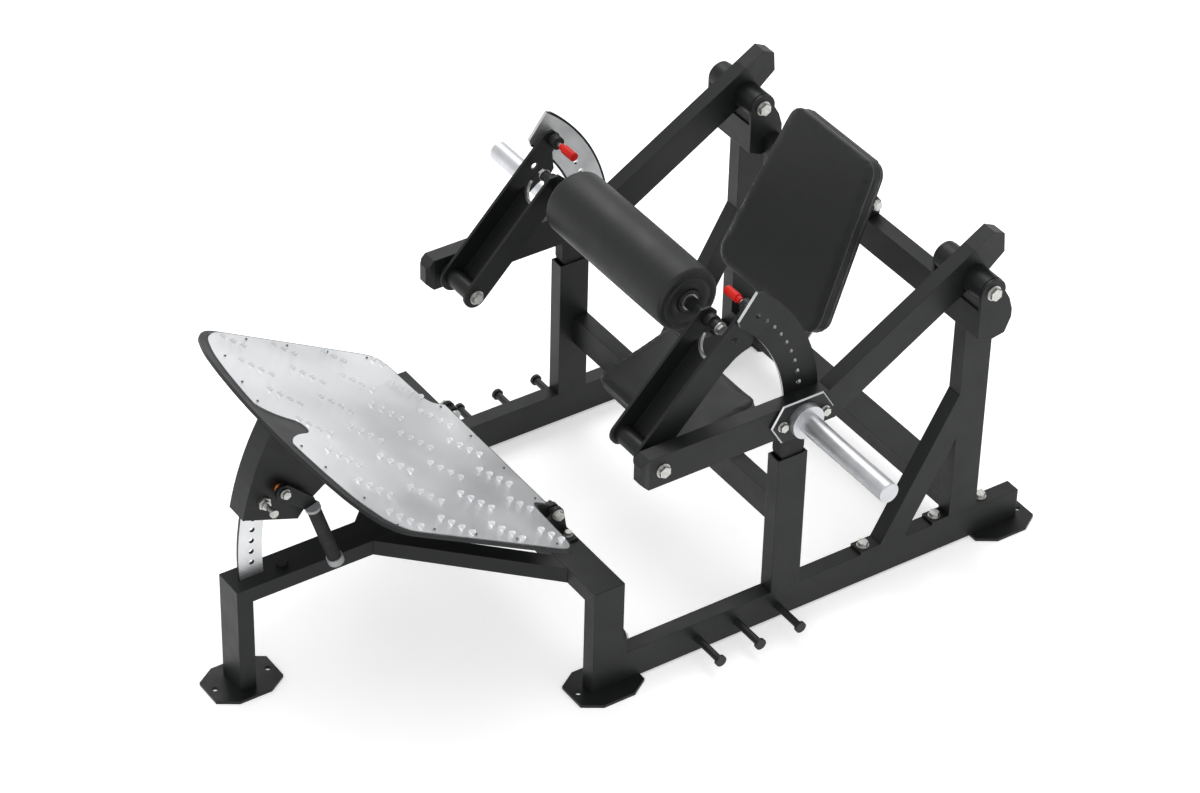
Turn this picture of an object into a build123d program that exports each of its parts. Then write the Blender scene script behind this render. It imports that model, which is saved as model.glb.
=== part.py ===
"""Plate-loaded hip-thrust machine: floor frame, swinging weight levers, tilting pad arms with a
padded roller, a seat, a self-aligning backrest and a hinged footplate.

X runs across the machine, Y from the footplate end to the backrest end, Z up from the floor.
Stations along Y are measured from the middle of the front foot; save() shifts them to mid-length.
"""
from build123d import *
from math import cos, hypot, radians, sin, tan
import os

os.makedirs("parts", exist_ok=True)

# ---- overall layout -------------------------------------------------------
MID_STATION = 900.5        # half-way between the front foot and the rear feet
REAR_FOOT_Y = 1801.0       # rear feet, centre
SIDE_FOOT_Y = 683.0        # front side feet, centre
RAIL_X = 445.0             # centre plane of rails, posts and levers
TUBE_T = 40.0              # narrow side of the main tube
TUBE_H = 80.0              # wide side of the main tube
WALL = 3.0                 # tube wall
PLATE_T = 8.0              # bracket plate

# ---- floor frame ----------------------------------------------------------
FOOT_X, FOOT_Y = 134.0, 173.0
FOOT_CHAMFER_X, FOOT_CHAMFER_Y = 29.0, 45.0
FOOT_HOLE_R = 7.0
FOOT_HOLE_Y = 68.0
BEAM_TOP = 295.0           # top of the front cross beam and centre beam
BEAM_FRONT_Y = 640.0       # front face of the cross beam
POST_FRONT_Y = -24.0       # front face of the centre post
BRACE_REACH = 315.0        # diagonal brace, centre beam to cross beam
RAIL_START, RAIL_END = 730.0, 1845.0
FLANGE_TOP = 150.0
PEG_STATIONS = (926.0, 1036.0, 1148.0)
PEG_Z, PEG_R, PEG_END = 42.0, 9.0, 552.0

# ---- uprights -------------------------------------------------------------
MID_POST_Y, MID_POST_TOP = 1128.0, 467.0
MID_TUBE_Z = (230.0, 305.0)
REAR_POST_Y, REAR_POST_TOP = 1640.0, 700.0
SEAT_PLATE_Z = 447.0       # plate inside the mid post that carries the bumper
BRACE_FOOT_Y, BRACE_HEAD_Z, BRACE_DEPTH = 1440.0, 451.0, 62.0
UPPER_TUBE = (1660.0, 1700.0, 612.0, 692.0)
LOWER_TUBE = (1640.0, 1720.0, 102.0, 142.0)

# ---- rear pivot -----------------------------------------------------------
REAR_PIVOT = (1652.0, 776.0)
EAR_OUT = 90.0             # outer face of each ear from the post's centre plane
EAR_R = 34.0
BEARING_R = 35.0
PIVOT_PIN_R = 12.0
RUN = 0.05                 # radial running clearance

# ---- lever ----------------------------------------------------------------
FRONT_PIVOT = (812.0, 574.0)
LEVER_LOW, LEVER_DEPTH = 533.0, 82.0
LEVER_SLOPE = 31.25
LEVER_BEND_Y = 1280.0
LEVER_END_Y = 1690.0
SLEEVE_Y, SLEEVE_Z = 1185.0, 572.0
SLEEVE_R, SLEEVE_END, COLLAR_R = 25.0, 792.0, 42.0
LEVER_NOSE_Y = 756.0
QUAD_IN, QUAD_OUT, QUAD_HOLE_R = 352.0, 445.0, 394.5
HOLE_FIRST, HOLE_PITCH, HOLE_COUNT, HOLE_R = 9.15, 4.75, 9, 6.5
QUAD_END = 53.2            # angle of the arc plate's upper end

# ---- pad arms and roller --------------------------------------------------
ARM_ANGLE = 46.46          # pivot to roller, above the horizontal
ARM_REACH = 318.0
ARM_IN, ARM_OUT = 300.0, 405.0
SHAFT_R = 12.5
ROLLER_R, ROLLER_HALF = 81.0, 233.0

# ---- seat and backrest ----------------------------------------------------
SEAT_FRONT = (1064.0, 325.5)
SEAT_TILT, SEAT_HALF, SEAT_LENGTH = 18.0, 182.0, 228.0
SEAT_PAD, SEAT_BOARD = 40.0, 8.0
BACK_POINT, BACK_TILT = (1440.6, 600.0), 25.0
BACK_LOW, BACK_HIGH, BACK_HALF_LOW, BACK_HALF_HIGH = -80.0, 362.0, 206.0, 163.0
BACK_PAD, BACK_BOARD = 38.0, 8.0
KNUCKLE = (1686.0, 722.0)

# ---- footplate ------------------------------------------------------------
PANEL_EDGE, PANEL_TILT = (679.0, 370.0), 29.1
PANEL_HALF, PANEL_LIP = 428.0, 10.0
HINGE = (690.0, 348.0)
STRIP_IN, STRIP_OUT, STRIP_HOLE_R = 628.0, 688.0, 655.0
STRIP_PITCH, LOCK_ANGLE = 2.6, 14.4
BOX_HALF, BAND_IN, BAND_OUT = 30.0, 693.0, 699.0
BOX_LOW, BOX_HIGH = 10.9, 29.3
HANDLE_PIVOT = (95.0, 537.0)


def save(name, *solids):
    """Write one named piece, moved so that the frame's middle is the origin."""
    moved = [Pos(0, -MID_STATION, 0) * s for s in solids]
    export_step(Compound(children=moved) if len(moved) > 1 else moved[0], f"parts/{name}.step")


def block(x0, x1, y0, y1, z0, z1):
    """A box between two corners."""
    return Pos((x0 + x1) / 2, (y0 + y1) / 2, (z0 + z1) / 2) * Box(x1 - x0, y1 - y0, z1 - z0)


def rod(x0, x1, y, z, r):
    """A round bar along X."""
    return Pos((x0 + x1) / 2, y, z) * Rot(0, 90, 0) * Cylinder(r, x1 - x0)


def hexagon(x0, x1, y, z, flat):
    """A hexagon bar along X, given across its flats."""
    face = RegularPolygon(flat / 2 / cos(radians(30)), 6)
    return Pos(x0, y, z) * Rot(0, 90, 0) * extrude(face, x1 - x0)


def side_plate(x0, x1, points):
    """A flat plate standing across X, with its outline given as (station, height)."""
    wire = Polyline(*[(p[0], p[1]) for p in points], close=True)
    face = make_face(Plane.YZ * wire)
    return Pos(x0, 0, 0) * extrude(face, x1 - x0, dir=(1, 0, 0))


def mirrored(solid):
    """The same piece on the other side of the machine."""
    return mirror(solid, about=Plane.YZ)


def both(solid):
    """A piece and its mirror image."""
    return solid, mirrored(solid)


def polar(centre, r, angle):
    """A point at a radius and angle, seen towards the backrest end."""
    return centre[0] + r * cos(radians(angle)), centre[1] + r * sin(radians(angle))


def forward(centre, r, angle):
    """A point at a radius and angle, seen towards the footplate end."""
    return centre[0] - r * cos(radians(angle)), centre[1] + r * sin(radians(angle))


def bolt_up(x, y, z, flat=22.0):
    """A washer and hexagon head standing on a horizontal plate."""
    washer = Pos(x, y, z + 1.0) * Cylinder(flat * 0.68, 2.0)
    head = Pos(x, y, z + 2.0) * extrude(RegularPolygon(flat / 2 / cos(radians(30)), 6), 9.0)
    return washer + head


# ---- floor frame ----------------------------------------------------------
def foot(x, y):
    """Chamfered floor plate with two anchor holes."""
    a, b = FOOT_X / 2, FOOT_Y / 2
    c, d = FOOT_CHAMFER_X, FOOT_CHAMFER_Y
    outline = Polyline((-a, -b + d), (-a + c, -b), (a - c, -b), (a, -b + d),
                       (a, b - d), (a - c, b), (-a + c, b), (-a, b - d), close=True)
    plate = extrude(make_face(outline), PLATE_T)
    for side in (-1, 1):
        plate -= Pos(0, side * FOOT_HOLE_Y, PLATE_T / 2) * Cylinder(FOOT_HOLE_R, 2 * PLATE_T)
    return Pos(x, y, 0) * plate


def centre_post():
    """Front upright under the centre beam."""
    y0, y1 = POST_FRONT_Y, POST_FRONT_Y + TUBE_T
    h = TUBE_H / 2
    outer = block(-h, h, y0, y1, PLATE_T, BEAM_TOP - TUBE_T)
    return outer - block(-h + WALL, h - WALL, y0 + WALL, y1 - WALL, PLATE_T, BEAM_TOP - TUBE_T)


def centre_beam():
    """Flat beam from the front upright to the cross beam, closed at the front."""
    h = TUBE_H / 2
    z0, z1 = BEAM_TOP - TUBE_T, BEAM_TOP
    outer = block(-h, h, POST_FRONT_Y, BEAM_FRONT_Y, z0, z1)
    return outer - block(-h + WALL, h - WALL, POST_FRONT_Y + WALL, BEAM_FRONT_Y, z0 + WALL, z1 - WALL)


def cross_beam():
    """Flat beam across the machine, mitred onto the front side posts."""
    out, inn = RAIL_X + TUBE_T / 2, RAIL_X - TUBE_T / 2
    z0, z1 = BEAM_TOP - TUBE_T, BEAM_TOP
    wire = Polyline((-out, z1), (-inn, z0), (inn, z0), (out, z1), close=True)
    face = make_face(Plane.XZ * wire)
    beam = Pos(0, BEAM_FRONT_Y, 0) * extrude(face, TUBE_H, dir=(0, 1, 0))
    hollow = block(-inn + 5, inn - 5, BEAM_FRONT_Y + WALL, BEAM_FRONT_Y + TUBE_H - WALL,
                   z0 + WALL, z1 - WALL)
    return beam - hollow


def side_post():
    """Front side upright with its mitred head."""
    out, inn = RAIL_X + TUBE_T / 2, RAIL_X - TUBE_T / 2
    z1 = BEAM_TOP
    wire = Polyline((inn, PLATE_T), (out, PLATE_T), (out, z1), (inn, z1 - TUBE_T), close=True)
    face = make_face(Plane.XZ * wire)
    post = Pos(0, BEAM_FRONT_Y, 0) * extrude(face, TUBE_H, dir=(0, 1, 0))
    hollow = block(inn + WALL, out - WALL, BEAM_FRONT_Y + WALL, BEAM_FRONT_Y + TUBE_H - WALL,
                   PLATE_T, z1 - TUBE_T - 5)
    return post - hollow


def diagonal_brace():
    """Flat brace at 45 degrees between the centre beam and the cross beam."""
    x0, y1, w = TUBE_H / 2, BEAM_FRONT_Y, TUBE_T * 2 ** 0.5
    y0 = y1 - BRACE_REACH
    k = WALL * 2 ** 0.5
    outer = make_face(Polyline((x0, y0), (x0 + y1 - y0, y1), (x0 + y1 - y0 - w, y1),
                               (x0, y0 + w), close=True))
    inner = make_face(Polyline((x0, y0 + k), (x0 + y1 - y0 - k, y1), (x0 + y1 - y0 - w + k, y1),
                               (x0, y0 + w - k), close=True))
    z0 = BEAM_TOP - TUBE_T
    brace = Pos(0, 0, z0) * extrude(outer, TUBE_T)
    return brace - Pos(0, 0, z0 + WALL) * extrude(inner, TUBE_T - 2 * WALL)


def flange():
    """Round-topped plate at the front end of a rail."""
    y0, h = BEAM_FRONT_Y + TUBE_H, TUBE_T / 2
    plate = block(RAIL_X - h, RAIL_X + h, y0, RAIL_START, PLATE_T, FLANGE_TOP - h)
    head = Pos(RAIL_X, (y0 + RAIL_START) / 2, FLANGE_TOP - h) * Rot(90, 0, 0)
    return plate + head * Cylinder(h, RAIL_START - y0)


def flange_bolt():
    """Bolt head above the rail on its front flange."""
    spot = Pos(RAIL_X, RAIL_START, FLANGE_TOP - 28) * Rot(-90, 0, 0)
    return spot * bolt_up(0, 0, 0, 20)


def side_rail():
    """Long floor rail, tall side up."""
    h = TUBE_T / 2
    outer = block(RAIL_X - h, RAIL_X + h, RAIL_START, RAIL_END, PLATE_T, PLATE_T + TUBE_H)
    inner = block(RAIL_X - h + WALL, RAIL_X + h - WALL, RAIL_START, RAIL_END,
                  PLATE_T + WALL, PLATE_T + TUBE_H - WALL)
    return outer - inner


def rail_cap():
    """Chamfered plastic plug over the rail's rear end."""
    h = TUBE_T / 2
    cap = block(RAIL_X - h, RAIL_X + h, RAIL_END, RAIL_END + 6, PLATE_T, PLATE_T + TUBE_H)
    return chamfer(cap.faces().sort_by(Axis.Y)[-1].edges(), 4)


def band_peg(y):
    """Peg with a round head on the rail's outer face."""
    x0 = RAIL_X + TUBE_T / 2
    return rod(x0, PEG_END, y, PEG_Z, PEG_R) + rod(PEG_END, PEG_END + 8, y, PEG_Z, 14)


# ---- uprights -------------------------------------------------------------
def mid_post():
    """Open-topped upright that carries the lever's bumper."""
    h = TUBE_T / 2
    z0 = PLATE_T + TUBE_H
    outer = block(RAIL_X - h, RAIL_X + h, MID_POST_Y, MID_POST_Y + TUBE_H, z0, MID_POST_TOP)
    inner = block(RAIL_X - h + WALL, RAIL_X + h - WALL, MID_POST_Y + WALL,
                  MID_POST_Y + TUBE_H - WALL, z0, MID_POST_TOP)
    return outer - inner


def stop_plate():
    """Plate inside the mid post on which the bumper lands."""
    h = TUBE_T / 2 - WALL
    return block(RAIL_X - h, RAIL_X + h, MID_POST_Y + WALL, MID_POST_Y + TUBE_H - WALL,
                 SEAT_PLATE_Z, SEAT_PLATE_Z + 5)


def box_tube(x_half, y0, y1, z0, z1):
    """Hollow tube across the machine."""
    outer = block(-x_half, x_half, y0, y1, z0, z1)
    return outer - block(-x_half, x_half, y0 + WALL, y1 - WALL, z0 + WALL, z1 - WALL)


def mid_tube():
    """Cross tube between the mid posts, under the seat."""
    y1 = MID_POST_Y + TUBE_H
    return box_tube(RAIL_X - TUBE_T / 2, y1 - TUBE_T, y1, *MID_TUBE_Z)


def rear_post():
    """Rear upright between its base plate and the pivot bracket."""
    h = TUBE_T / 2
    z0 = 2 * PLATE_T + TUBE_H
    outer = block(RAIL_X - h, RAIL_X + h, REAR_POST_Y, REAR_POST_Y + TUBE_H, z0, REAR_POST_TOP)
    inner = block(RAIL_X - h + WALL, RAIL_X + h - WALL, REAR_POST_Y + WALL,
                  REAR_POST_Y + TUBE_H - WALL, z0, REAR_POST_TOP)
    return outer - inner


def base_plate(y0, y1):
    """Bolted plate on top of a rail."""
    h = TUBE_T / 2
    z0 = PLATE_T + TUBE_H
    return block(RAIL_X - h, RAIL_X + h, y0, y1, z0, z0 + PLATE_T)


def brace_outline(inset):
    """Side outline of the leaning brace in front of a rear post."""
    z0 = 2 * PLATE_T + TUBE_H
    run, rise = REAR_POST_Y - BRACE_FOOT_Y, BRACE_HEAD_Z - z0
    k, length = rise / run, hypot(rise, run)
    across = length / rise
    a, b = inset * across, (BRACE_DEPTH - inset) * across
    return [(BRACE_FOOT_Y + a, z0), (REAR_POST_Y, BRACE_HEAD_Z - a * k),
            (REAR_POST_Y, BRACE_HEAD_Z - b * k), (BRACE_FOOT_Y + b, z0)]


def rear_brace():
    """Leaning brace from the rail to the rear post."""
    h = TUBE_T / 2
    outer = side_plate(RAIL_X - h, RAIL_X + h, brace_outline(0))
    return outer - side_plate(RAIL_X - h + WALL, RAIL_X + h - WALL, brace_outline(WALL))


def ear_outline():
    """Outline of a pivot ear: round head, raked foot."""
    y, z = REAR_PIVOT
    arc = [polar(REAR_PIVOT, EAR_R, a) for a in range(-10, 181, 10)]
    return arc + [(y - EAR_R, 659.0), (1652.0, 645.0), (1694.0, 652.0), (1710.0, 690.0),
                  (1710.0, 712.0), (1700.0, 745.0)]


def pivot_bracket():
    """Two ears joined by a front plate and a seat plate on the post."""
    x0, x1 = RAIL_X - EAR_OUT, RAIL_X + EAR_OUT
    y0 = REAR_PIVOT[0] - EAR_R
    ears = side_plate(x0, x0 + PLATE_T, ear_outline()) + side_plate(x1 - PLATE_T, x1, ear_outline())
    front = block(x0, x1, y0, y0 + PLATE_T, 659.0, 734.0)
    seat = block(x0, x1, y0, 1705.0, REAR_POST_TOP, REAR_POST_TOP + PLATE_T)
    bracket = ears + front + seat
    return bracket - rod(x0 - 5, x1 + 5, *REAR_PIVOT, PIVOT_PIN_R)


def rear_pin():
    """Pivot bolt through both ears, with a head and a nut."""
    x0, x1 = RAIL_X - EAR_OUT, RAIL_X + EAR_OUT
    pin = rod(x0, x1, *REAR_PIVOT, PIVOT_PIN_R)
    heads = rod(x0 - 2.5, x0, *REAR_PIVOT, 19) + rod(x1, x1 + 2.5, *REAR_PIVOT, 19)
    heads += hexagon(x0 - 12, x0 - 2.5, *REAR_PIVOT, 28) + hexagon(x1 + 2.5, x1 + 12, *REAR_PIVOT, 28)
    return pin + heads


# ---- levers ---------------------------------------------------------------
def lever_line(y):
    """Height of the lever's lower edge at a station on its sloping part."""
    return LEVER_LOW + (y - LEVER_BEND_Y) * tan(radians(LEVER_SLOPE))


def lever_top_bend():
    """Station where the lever's upper edge starts to rise."""
    rise = LEVER_DEPTH / cos(radians(LEVER_SLOPE)) - LEVER_DEPTH
    return LEVER_BEND_Y - rise / tan(radians(LEVER_SLOPE))


def lever_end_top():
    """Upper corner of the lever's square-cut rear end."""
    a = radians(LEVER_SLOPE)
    return LEVER_END_Y - LEVER_DEPTH * sin(a), lever_line(LEVER_END_Y) + LEVER_DEPTH * cos(a)


def slope_hollow():
    """Bore of the lever's sloping part, short of the bearing tube."""
    a = radians(LEVER_SLOPE)
    length = 300.0
    mid_y = 1450.0 - LEVER_DEPTH / 2 * sin(a)
    mid_z = lever_line(1450.0) + LEVER_DEPTH / 2 * cos(a)
    core = Box(TUBE_T - 2 * WALL, length, LEVER_DEPTH - 2 * WALL)
    return Pos(RAIL_X, mid_y, mid_z) * Rot(LEVER_SLOPE, 0, 0) * core


def lever_arm():
    """Weight lever: level front part and rising rear part."""
    h = TUBE_T / 2
    y, z = FRONT_PIVOT
    front = LEVER_NOSE_Y + 20
    outline = [(front, LEVER_LOW), (LEVER_BEND_Y, LEVER_LOW), (LEVER_END_Y, lever_line(LEVER_END_Y)),
               lever_end_top(), (lever_top_bend(), LEVER_LOW + LEVER_DEPTH),
               (front, LEVER_LOW + LEVER_DEPTH)]
    arm = side_plate(RAIL_X - h, RAIL_X + h, outline)
    arm -= block(RAIL_X - h + WALL, RAIL_X + h - WALL, y + 50, LEVER_BEND_Y - 40,
                 LEVER_LOW + WALL, LEVER_LOW + LEVER_DEPTH - WALL)
    arm -= slope_hollow()
    arm -= rod(RAIL_X - h - 1, RAIL_X + h + 1, *REAR_PIVOT, BEARING_R)
    return arm - rod(RAIL_X - h - 1, RAIL_X + h + 1, y, z, SHAFT_R)


def lever_cap():
    """Moulded end of the lever with chamfered corners."""
    h = TUBE_T / 2
    z0 = lever_line(LEVER_END_Y)
    top_y, top_z = lever_end_top()
    slope = tan(radians(LEVER_SLOPE))
    outline = [(LEVER_END_Y, z0), (1733.0, z0 + 37), (1729.0, z0 + 87),
               (1699.0, top_z + (1699.0 - top_y) * slope), (top_y, top_z)]
    return side_plate(RAIL_X - h, RAIL_X + h, outline)


def nose_cap():
    """Moulded front end of the lever, chamfered all round."""
    h = TUBE_T / 2
    z0, z1 = LEVER_LOW, LEVER_LOW + LEVER_DEPTH
    cap = block(RAIL_X - h, RAIL_X + h, LEVER_NOSE_Y, LEVER_NOSE_Y + 20, z0, z1)
    face = cap.faces().sort_by(Axis.Y)[0]
    cap = chamfer(face.edges().filter_by(Axis.X), 19)
    return chamfer(cap.faces().sort_by(Axis.Y)[0].edges().filter_by(Axis.Z), 8)


def bearing_tube():
    """Bearing barrel welded through the lever's lower edge."""
    x0, x1 = RAIL_X - EAR_OUT + PLATE_T + 1, RAIL_X + EAR_OUT - PLATE_T - 1
    return rod(x0, x1, *REAR_PIVOT, BEARING_R) - rod(x0 - 1, x1 + 1, *REAR_PIVOT, PIVOT_PIN_R + RUN)


def bumper():
    """Rubber block under the lever with a rounded foot that drops into the mid post."""
    r = 33.0
    y = MID_POST_Y + TUBE_H / 2
    z = SEAT_PLATE_Z + 5 + 0.3 + r
    half = 15.0
    return block(RAIL_X - half, RAIL_X + half, y - r, y + r, z, LEVER_LOW) + rod(
        RAIL_X - half, RAIL_X + half, y, z, r)


def quadrant():
    """Arc plate on the lever's inner face with the row of locking holes."""
    x1 = RAIL_X - TUBE_T / 2
    foot_z = 585.0 - FRONT_PIVOT[1]
    turns = [QUAD_END * i / 24 for i in range(1, 24)]
    sector = [polar(FRONT_PIVOT, QUAD_OUT, a) for a in turns]
    sector += [polar(FRONT_PIVOT, QUAD_OUT - 5, QUAD_END), polar(FRONT_PIVOT, QUAD_IN + 10, QUAD_END)]
    sector += [polar(FRONT_PIVOT, QUAD_IN, a) for a in reversed(turns)]
    low = [(FRONT_PIVOT[0] + QUAD_IN, FRONT_PIVOT[1] + foot_z),
           (FRONT_PIVOT[0] + QUAD_OUT, FRONT_PIVOT[1] + foot_z)]
    plate = side_plate(x1 - PLATE_T, x1, low + sector)
    for i in range(HOLE_COUNT):
        y, z = polar(FRONT_PIVOT, QUAD_HOLE_R, HOLE_FIRST + HOLE_PITCH * i)
        plate -= rod(x1 - PLATE_T - 1, x1 + 1, y, z, HOLE_R)
    return plate


def sleeve_plate():
    """Six-sided plate that carries the weight sleeve."""
    x0 = RAIL_X + TUBE_T / 2
    y, z = SLEEVE_Y, LEVER_LOW + LEVER_DEPTH / 2
    outline = [(y - 88, z), (y - 57, z + 51), (y + 53, z + 51), (y + 84, z),
               (y + 53, z - 51), (y - 57, z - 51)]
    plate = side_plate(x0, x0 + PLATE_T, outline)
    return chamfer(plate.faces().sort_by(Axis.X)[-1].edges(), 3)


def weight_sleeve():
    """Plate-loading sleeve with its collar and a closed end."""
    x0 = RAIL_X + TUBE_T / 2 + PLATE_T
    body = rod(x0, SLEEVE_END, SLEEVE_Y, SLEEVE_Z, SLEEVE_R) + rod(x0, x0 + 20, SLEEVE_Y, SLEEVE_Z, COLLAR_R)
    body = fillet(body.faces().sort_by(Axis.X)[-1].edges(), 3)
    return body - rod(x0, SLEEVE_END - 8, SLEEVE_Y, SLEEVE_Z, SLEEVE_R - 4)


def sleeve_bolts():
    """Bolt heads either side of the sleeve."""
    x0 = RAIL_X + TUBE_T / 2 + PLATE_T
    out = []
    for side in (-58, 58):
        y, z = SLEEVE_Y + side, SLEEVE_Z
        out.append(rod(x0, x0 + 2, y, z, 13) + hexagon(x0 + 2, x0 + 11, y, z, 19))
    return out


def front_pin():
    """Pivot bolt from the lever's outer face to the arm's inner plate."""
    x0, x1 = ARM_IN - 0.5, RAIL_X + TUBE_T / 2
    y, z = FRONT_PIVOT
    pin = rod(x0, x1, y, z, SHAFT_R)
    head = rod(x1, x1 + 2, y, z, 18) + hexagon(x1 + 2, x1 + 11, y, z, 26)
    nut = rod(x0 - 2, x0, y, z, 18) + hexagon(x0 - 10, x0 - 2, y, z, 24)
    return pin + head + nut


# ---- pad arms -------------------------------------------------------------
def arm_point(t, n):
    """A point along the arm from its pivot (t) and towards its front face (n)."""
    a = radians(ARM_ANGLE)
    return FRONT_PIVOT[0] + t * cos(a) - n * sin(a), FRONT_PIVOT[1] + t * sin(a) + n * cos(a)


def foot_arc(front, back):
    """Rounded lower end of an arm plate."""
    r, mid = (front + back) / 2, (front - back) / 2
    turns = [radians(a) for a in range(90, 271, 12)]
    return [arm_point(r * cos(a), mid + r * sin(a)) for a in turns]


def inner_arm_plate():
    """Short plate on the roller side of the arm."""
    top = ARM_REACH + 24
    head = [arm_point(top - 22, -28), arm_point(top, -8), arm_point(top, 15), arm_point(top - 18, 33)]
    plate = side_plate(ARM_IN, ARM_IN + PLATE_T, foot_arc(33, 26) + head)
    y, z = arm_point(ARM_REACH, 0)
    return plate - rod(ARM_IN - 1, ARM_IN + PLATE_T + 1, y, z, SHAFT_R)


def outer_arm_plate():
    """Long plate on the lever side, with a lobe behind the shaft and the pull-pin's head."""
    lobe = [arm_point(250, -36), arm_point(285, -41), arm_point(304, -48), arm_point(322, -58),
            arm_point(338, -55), arm_point(352, -38), arm_point(368, -20)]
    head = [arm_point(398, -15), arm_point(412, -4), arm_point(412, 18), arm_point(396, 33)]
    plate = side_plate(ARM_OUT - PLATE_T, ARM_OUT, foot_arc(33, 38) + lobe + head)
    y, z = arm_point(ARM_REACH, 0)
    plate -= rod(ARM_OUT - PLATE_T - 1, ARM_OUT + 1, y, z, 9)
    return plate - rod(ARM_OUT - PLATE_T - 1, ARM_OUT + 1, *pin_spot(), 11)


def arm_web():
    """Rear wall of the arm with a half-round notch across its upper edge."""
    x0, x1 = ARM_IN + PLATE_T, ARM_OUT - PLATE_T
    web = side_plate(x0, x1, [arm_point(12, -23), arm_point(296, -23), arm_point(296, -15),
                              arm_point(12, -15)])
    y, z = arm_point(292, -19)
    return web - Pos((x0 + x1) / 2, y, z) * Rot(ARM_ANGLE, 0, 0) * Cylinder(44, 30)


def arm_channel():
    """Tilting arm: two plates and a rear wall."""
    arm = inner_arm_plate() + outer_arm_plate() + arm_web()
    return arm - rod(ARM_IN - 1, ARM_OUT + 1, *FRONT_PIVOT, 22)


def pivot_barrel():
    """Barrel of the arm that turns on the front pivot bolt."""
    x1 = RAIL_X - TUBE_T / 2 - 0.5
    return rod(ARM_IN, x1, *FRONT_PIVOT, 22) - rod(ARM_IN - 1, x1 + 1, *FRONT_PIVOT, SHAFT_R + RUN)


def pin_spot():
    """Station and height of the locking hole in use."""
    return polar(FRONT_PIVOT, QUAD_HOLE_R, HOLE_FIRST + HOLE_PITCH * (HOLE_COUNT - 1))


def plunger_housing():
    """Threaded housing of the pull-pin in the arm's outer plate."""
    x0 = 373.0
    y, z = pin_spot()
    body = rod(x0, ARM_OUT, y, z, 11) + rod(x0, ARM_OUT - PLATE_T, y, z, 16)
    return body - rod(x0 - 1, ARM_OUT + 1, y, z, 5.55)


def plunger_rod():
    """Pull-pin, parked just clear of the arc plate."""
    y, z = pin_spot()
    return rod(360.0, RAIL_X - TUBE_T / 2 - PLATE_T - 1.2, y, z, 5.5)


def plunger_knob():
    """Long round knob on the pull-pin, with a waist next to the rod."""
    y, z = pin_spot()
    grip = fillet(rod(305.0, 348.0, y, z, 11).edges().filter_by(GeomType.CIRCLE), 3)
    return grip + rod(347.0, 360.0, y, z, 8)


def roller_shaft():
    """Shaft tying the two arms together, with a collar at each plate and each roller end."""
    y, z = arm_point(ARM_REACH, 0)
    end = rod(ROLLER_HALF + 4, 262, y, z, 16) + rod(308, 330, y, z, 18)
    return rod(-352, 352, y, z, SHAFT_R) + end + mirrored(end)


def shaft_end():
    """Bright ring beside the roller and bolt head on the end of the shaft."""
    y, z = arm_point(ARM_REACH, 0)
    x0 = ROLLER_HALF + 0.3
    ring = rod(x0, ROLLER_HALF + 4, y, z, 20) - rod(x0 - 1, ROLLER_HALF + 5, y, z, SHAFT_R)
    return ring, rod(352, 354.5, y, z, 15) + hexagon(354.5, 364, y, z, 22)


def roller_core():
    """Tube inside the roller, turning on the shaft."""
    y, z = arm_point(ARM_REACH, 0)
    return rod(-ROLLER_HALF, ROLLER_HALF, y, z, 28) - rod(-ROLLER_HALF - 1, ROLLER_HALF + 1, y, z, SHAFT_R + RUN)


def roller_pad():
    """Foam sleeve over the roller core."""
    y, z = arm_point(ARM_REACH, 0)
    pad = rod(-ROLLER_HALF, ROLLER_HALF, y, z, ROLLER_R)
    ends = pad.edges().filter_by(GeomType.CIRCLE)
    return fillet(ends, 10) - rod(-ROLLER_HALF - 1, ROLLER_HALF + 1, y, z, 28)


# ---- seat -----------------------------------------------------------------
def seat_plane():
    """Plane of the seat's top face, from its front edge up towards the rear."""
    a = radians(SEAT_TILT)
    return Plane(origin=(0, SEAT_FRONT[0], SEAT_FRONT[1]), x_dir=(1, 0, 0), z_dir=(0, -sin(a), cos(a)))


def seat_slab(top, bottom, inset, radius):
    """Layer of the seat between two depths below its top face."""
    outline = Pos(0, SEAT_LENGTH / 2) * RectangleRounded(
        2 * (SEAT_HALF - inset), SEAT_LENGTH - 2 * inset, radius)
    return seat_plane().offset(-bottom) * extrude(outline, bottom - top)


def seat_under(y):
    """Height of the seat board's underside at a station."""
    a = radians(SEAT_TILT)
    return SEAT_FRONT[1] + (y - SEAT_FRONT[0]) * tan(a) - (SEAT_PAD + SEAT_BOARD) / cos(a)


def seat_bracket():
    """Pair of gussets that hold the seat board on the mid cross tube."""
    y1 = MID_POST_Y + TUBE_H
    outline = [(1118.0, seat_under(1118.0)), (1164.0, 240.0), (y1 + 4, 240.0), (1256.0, seat_under(1256.0))]
    tube = block(-200, 200, y1 - TUBE_T, y1, *MID_TUBE_Z)
    return both(side_plate(88, 96, outline) - tube)


# ---- backrest -------------------------------------------------------------
def back_plane():
    """Plane of the backrest's front face; local Y runs up the pad."""
    a = radians(BACK_TILT)
    return Plane(origin=(0, BACK_POINT[0], BACK_POINT[1]), x_dir=(1, 0, 0), z_dir=(0, -cos(a), sin(a)))


def back_slab(near, far, inset, radius):
    """Layer of the backrest between two depths behind its front face."""
    lo, hi = BACK_HALF_LOW - inset, BACK_HALF_HIGH - inset
    wire = Polyline((-lo, BACK_LOW + inset), (lo, BACK_LOW + inset), (hi, BACK_HIGH - inset),
                    (-hi, BACK_HIGH - inset), close=True)
    outline = fillet(make_face(wire).vertices(), radius)
    return back_plane().offset(-far) * extrude(outline, far - near)


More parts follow.
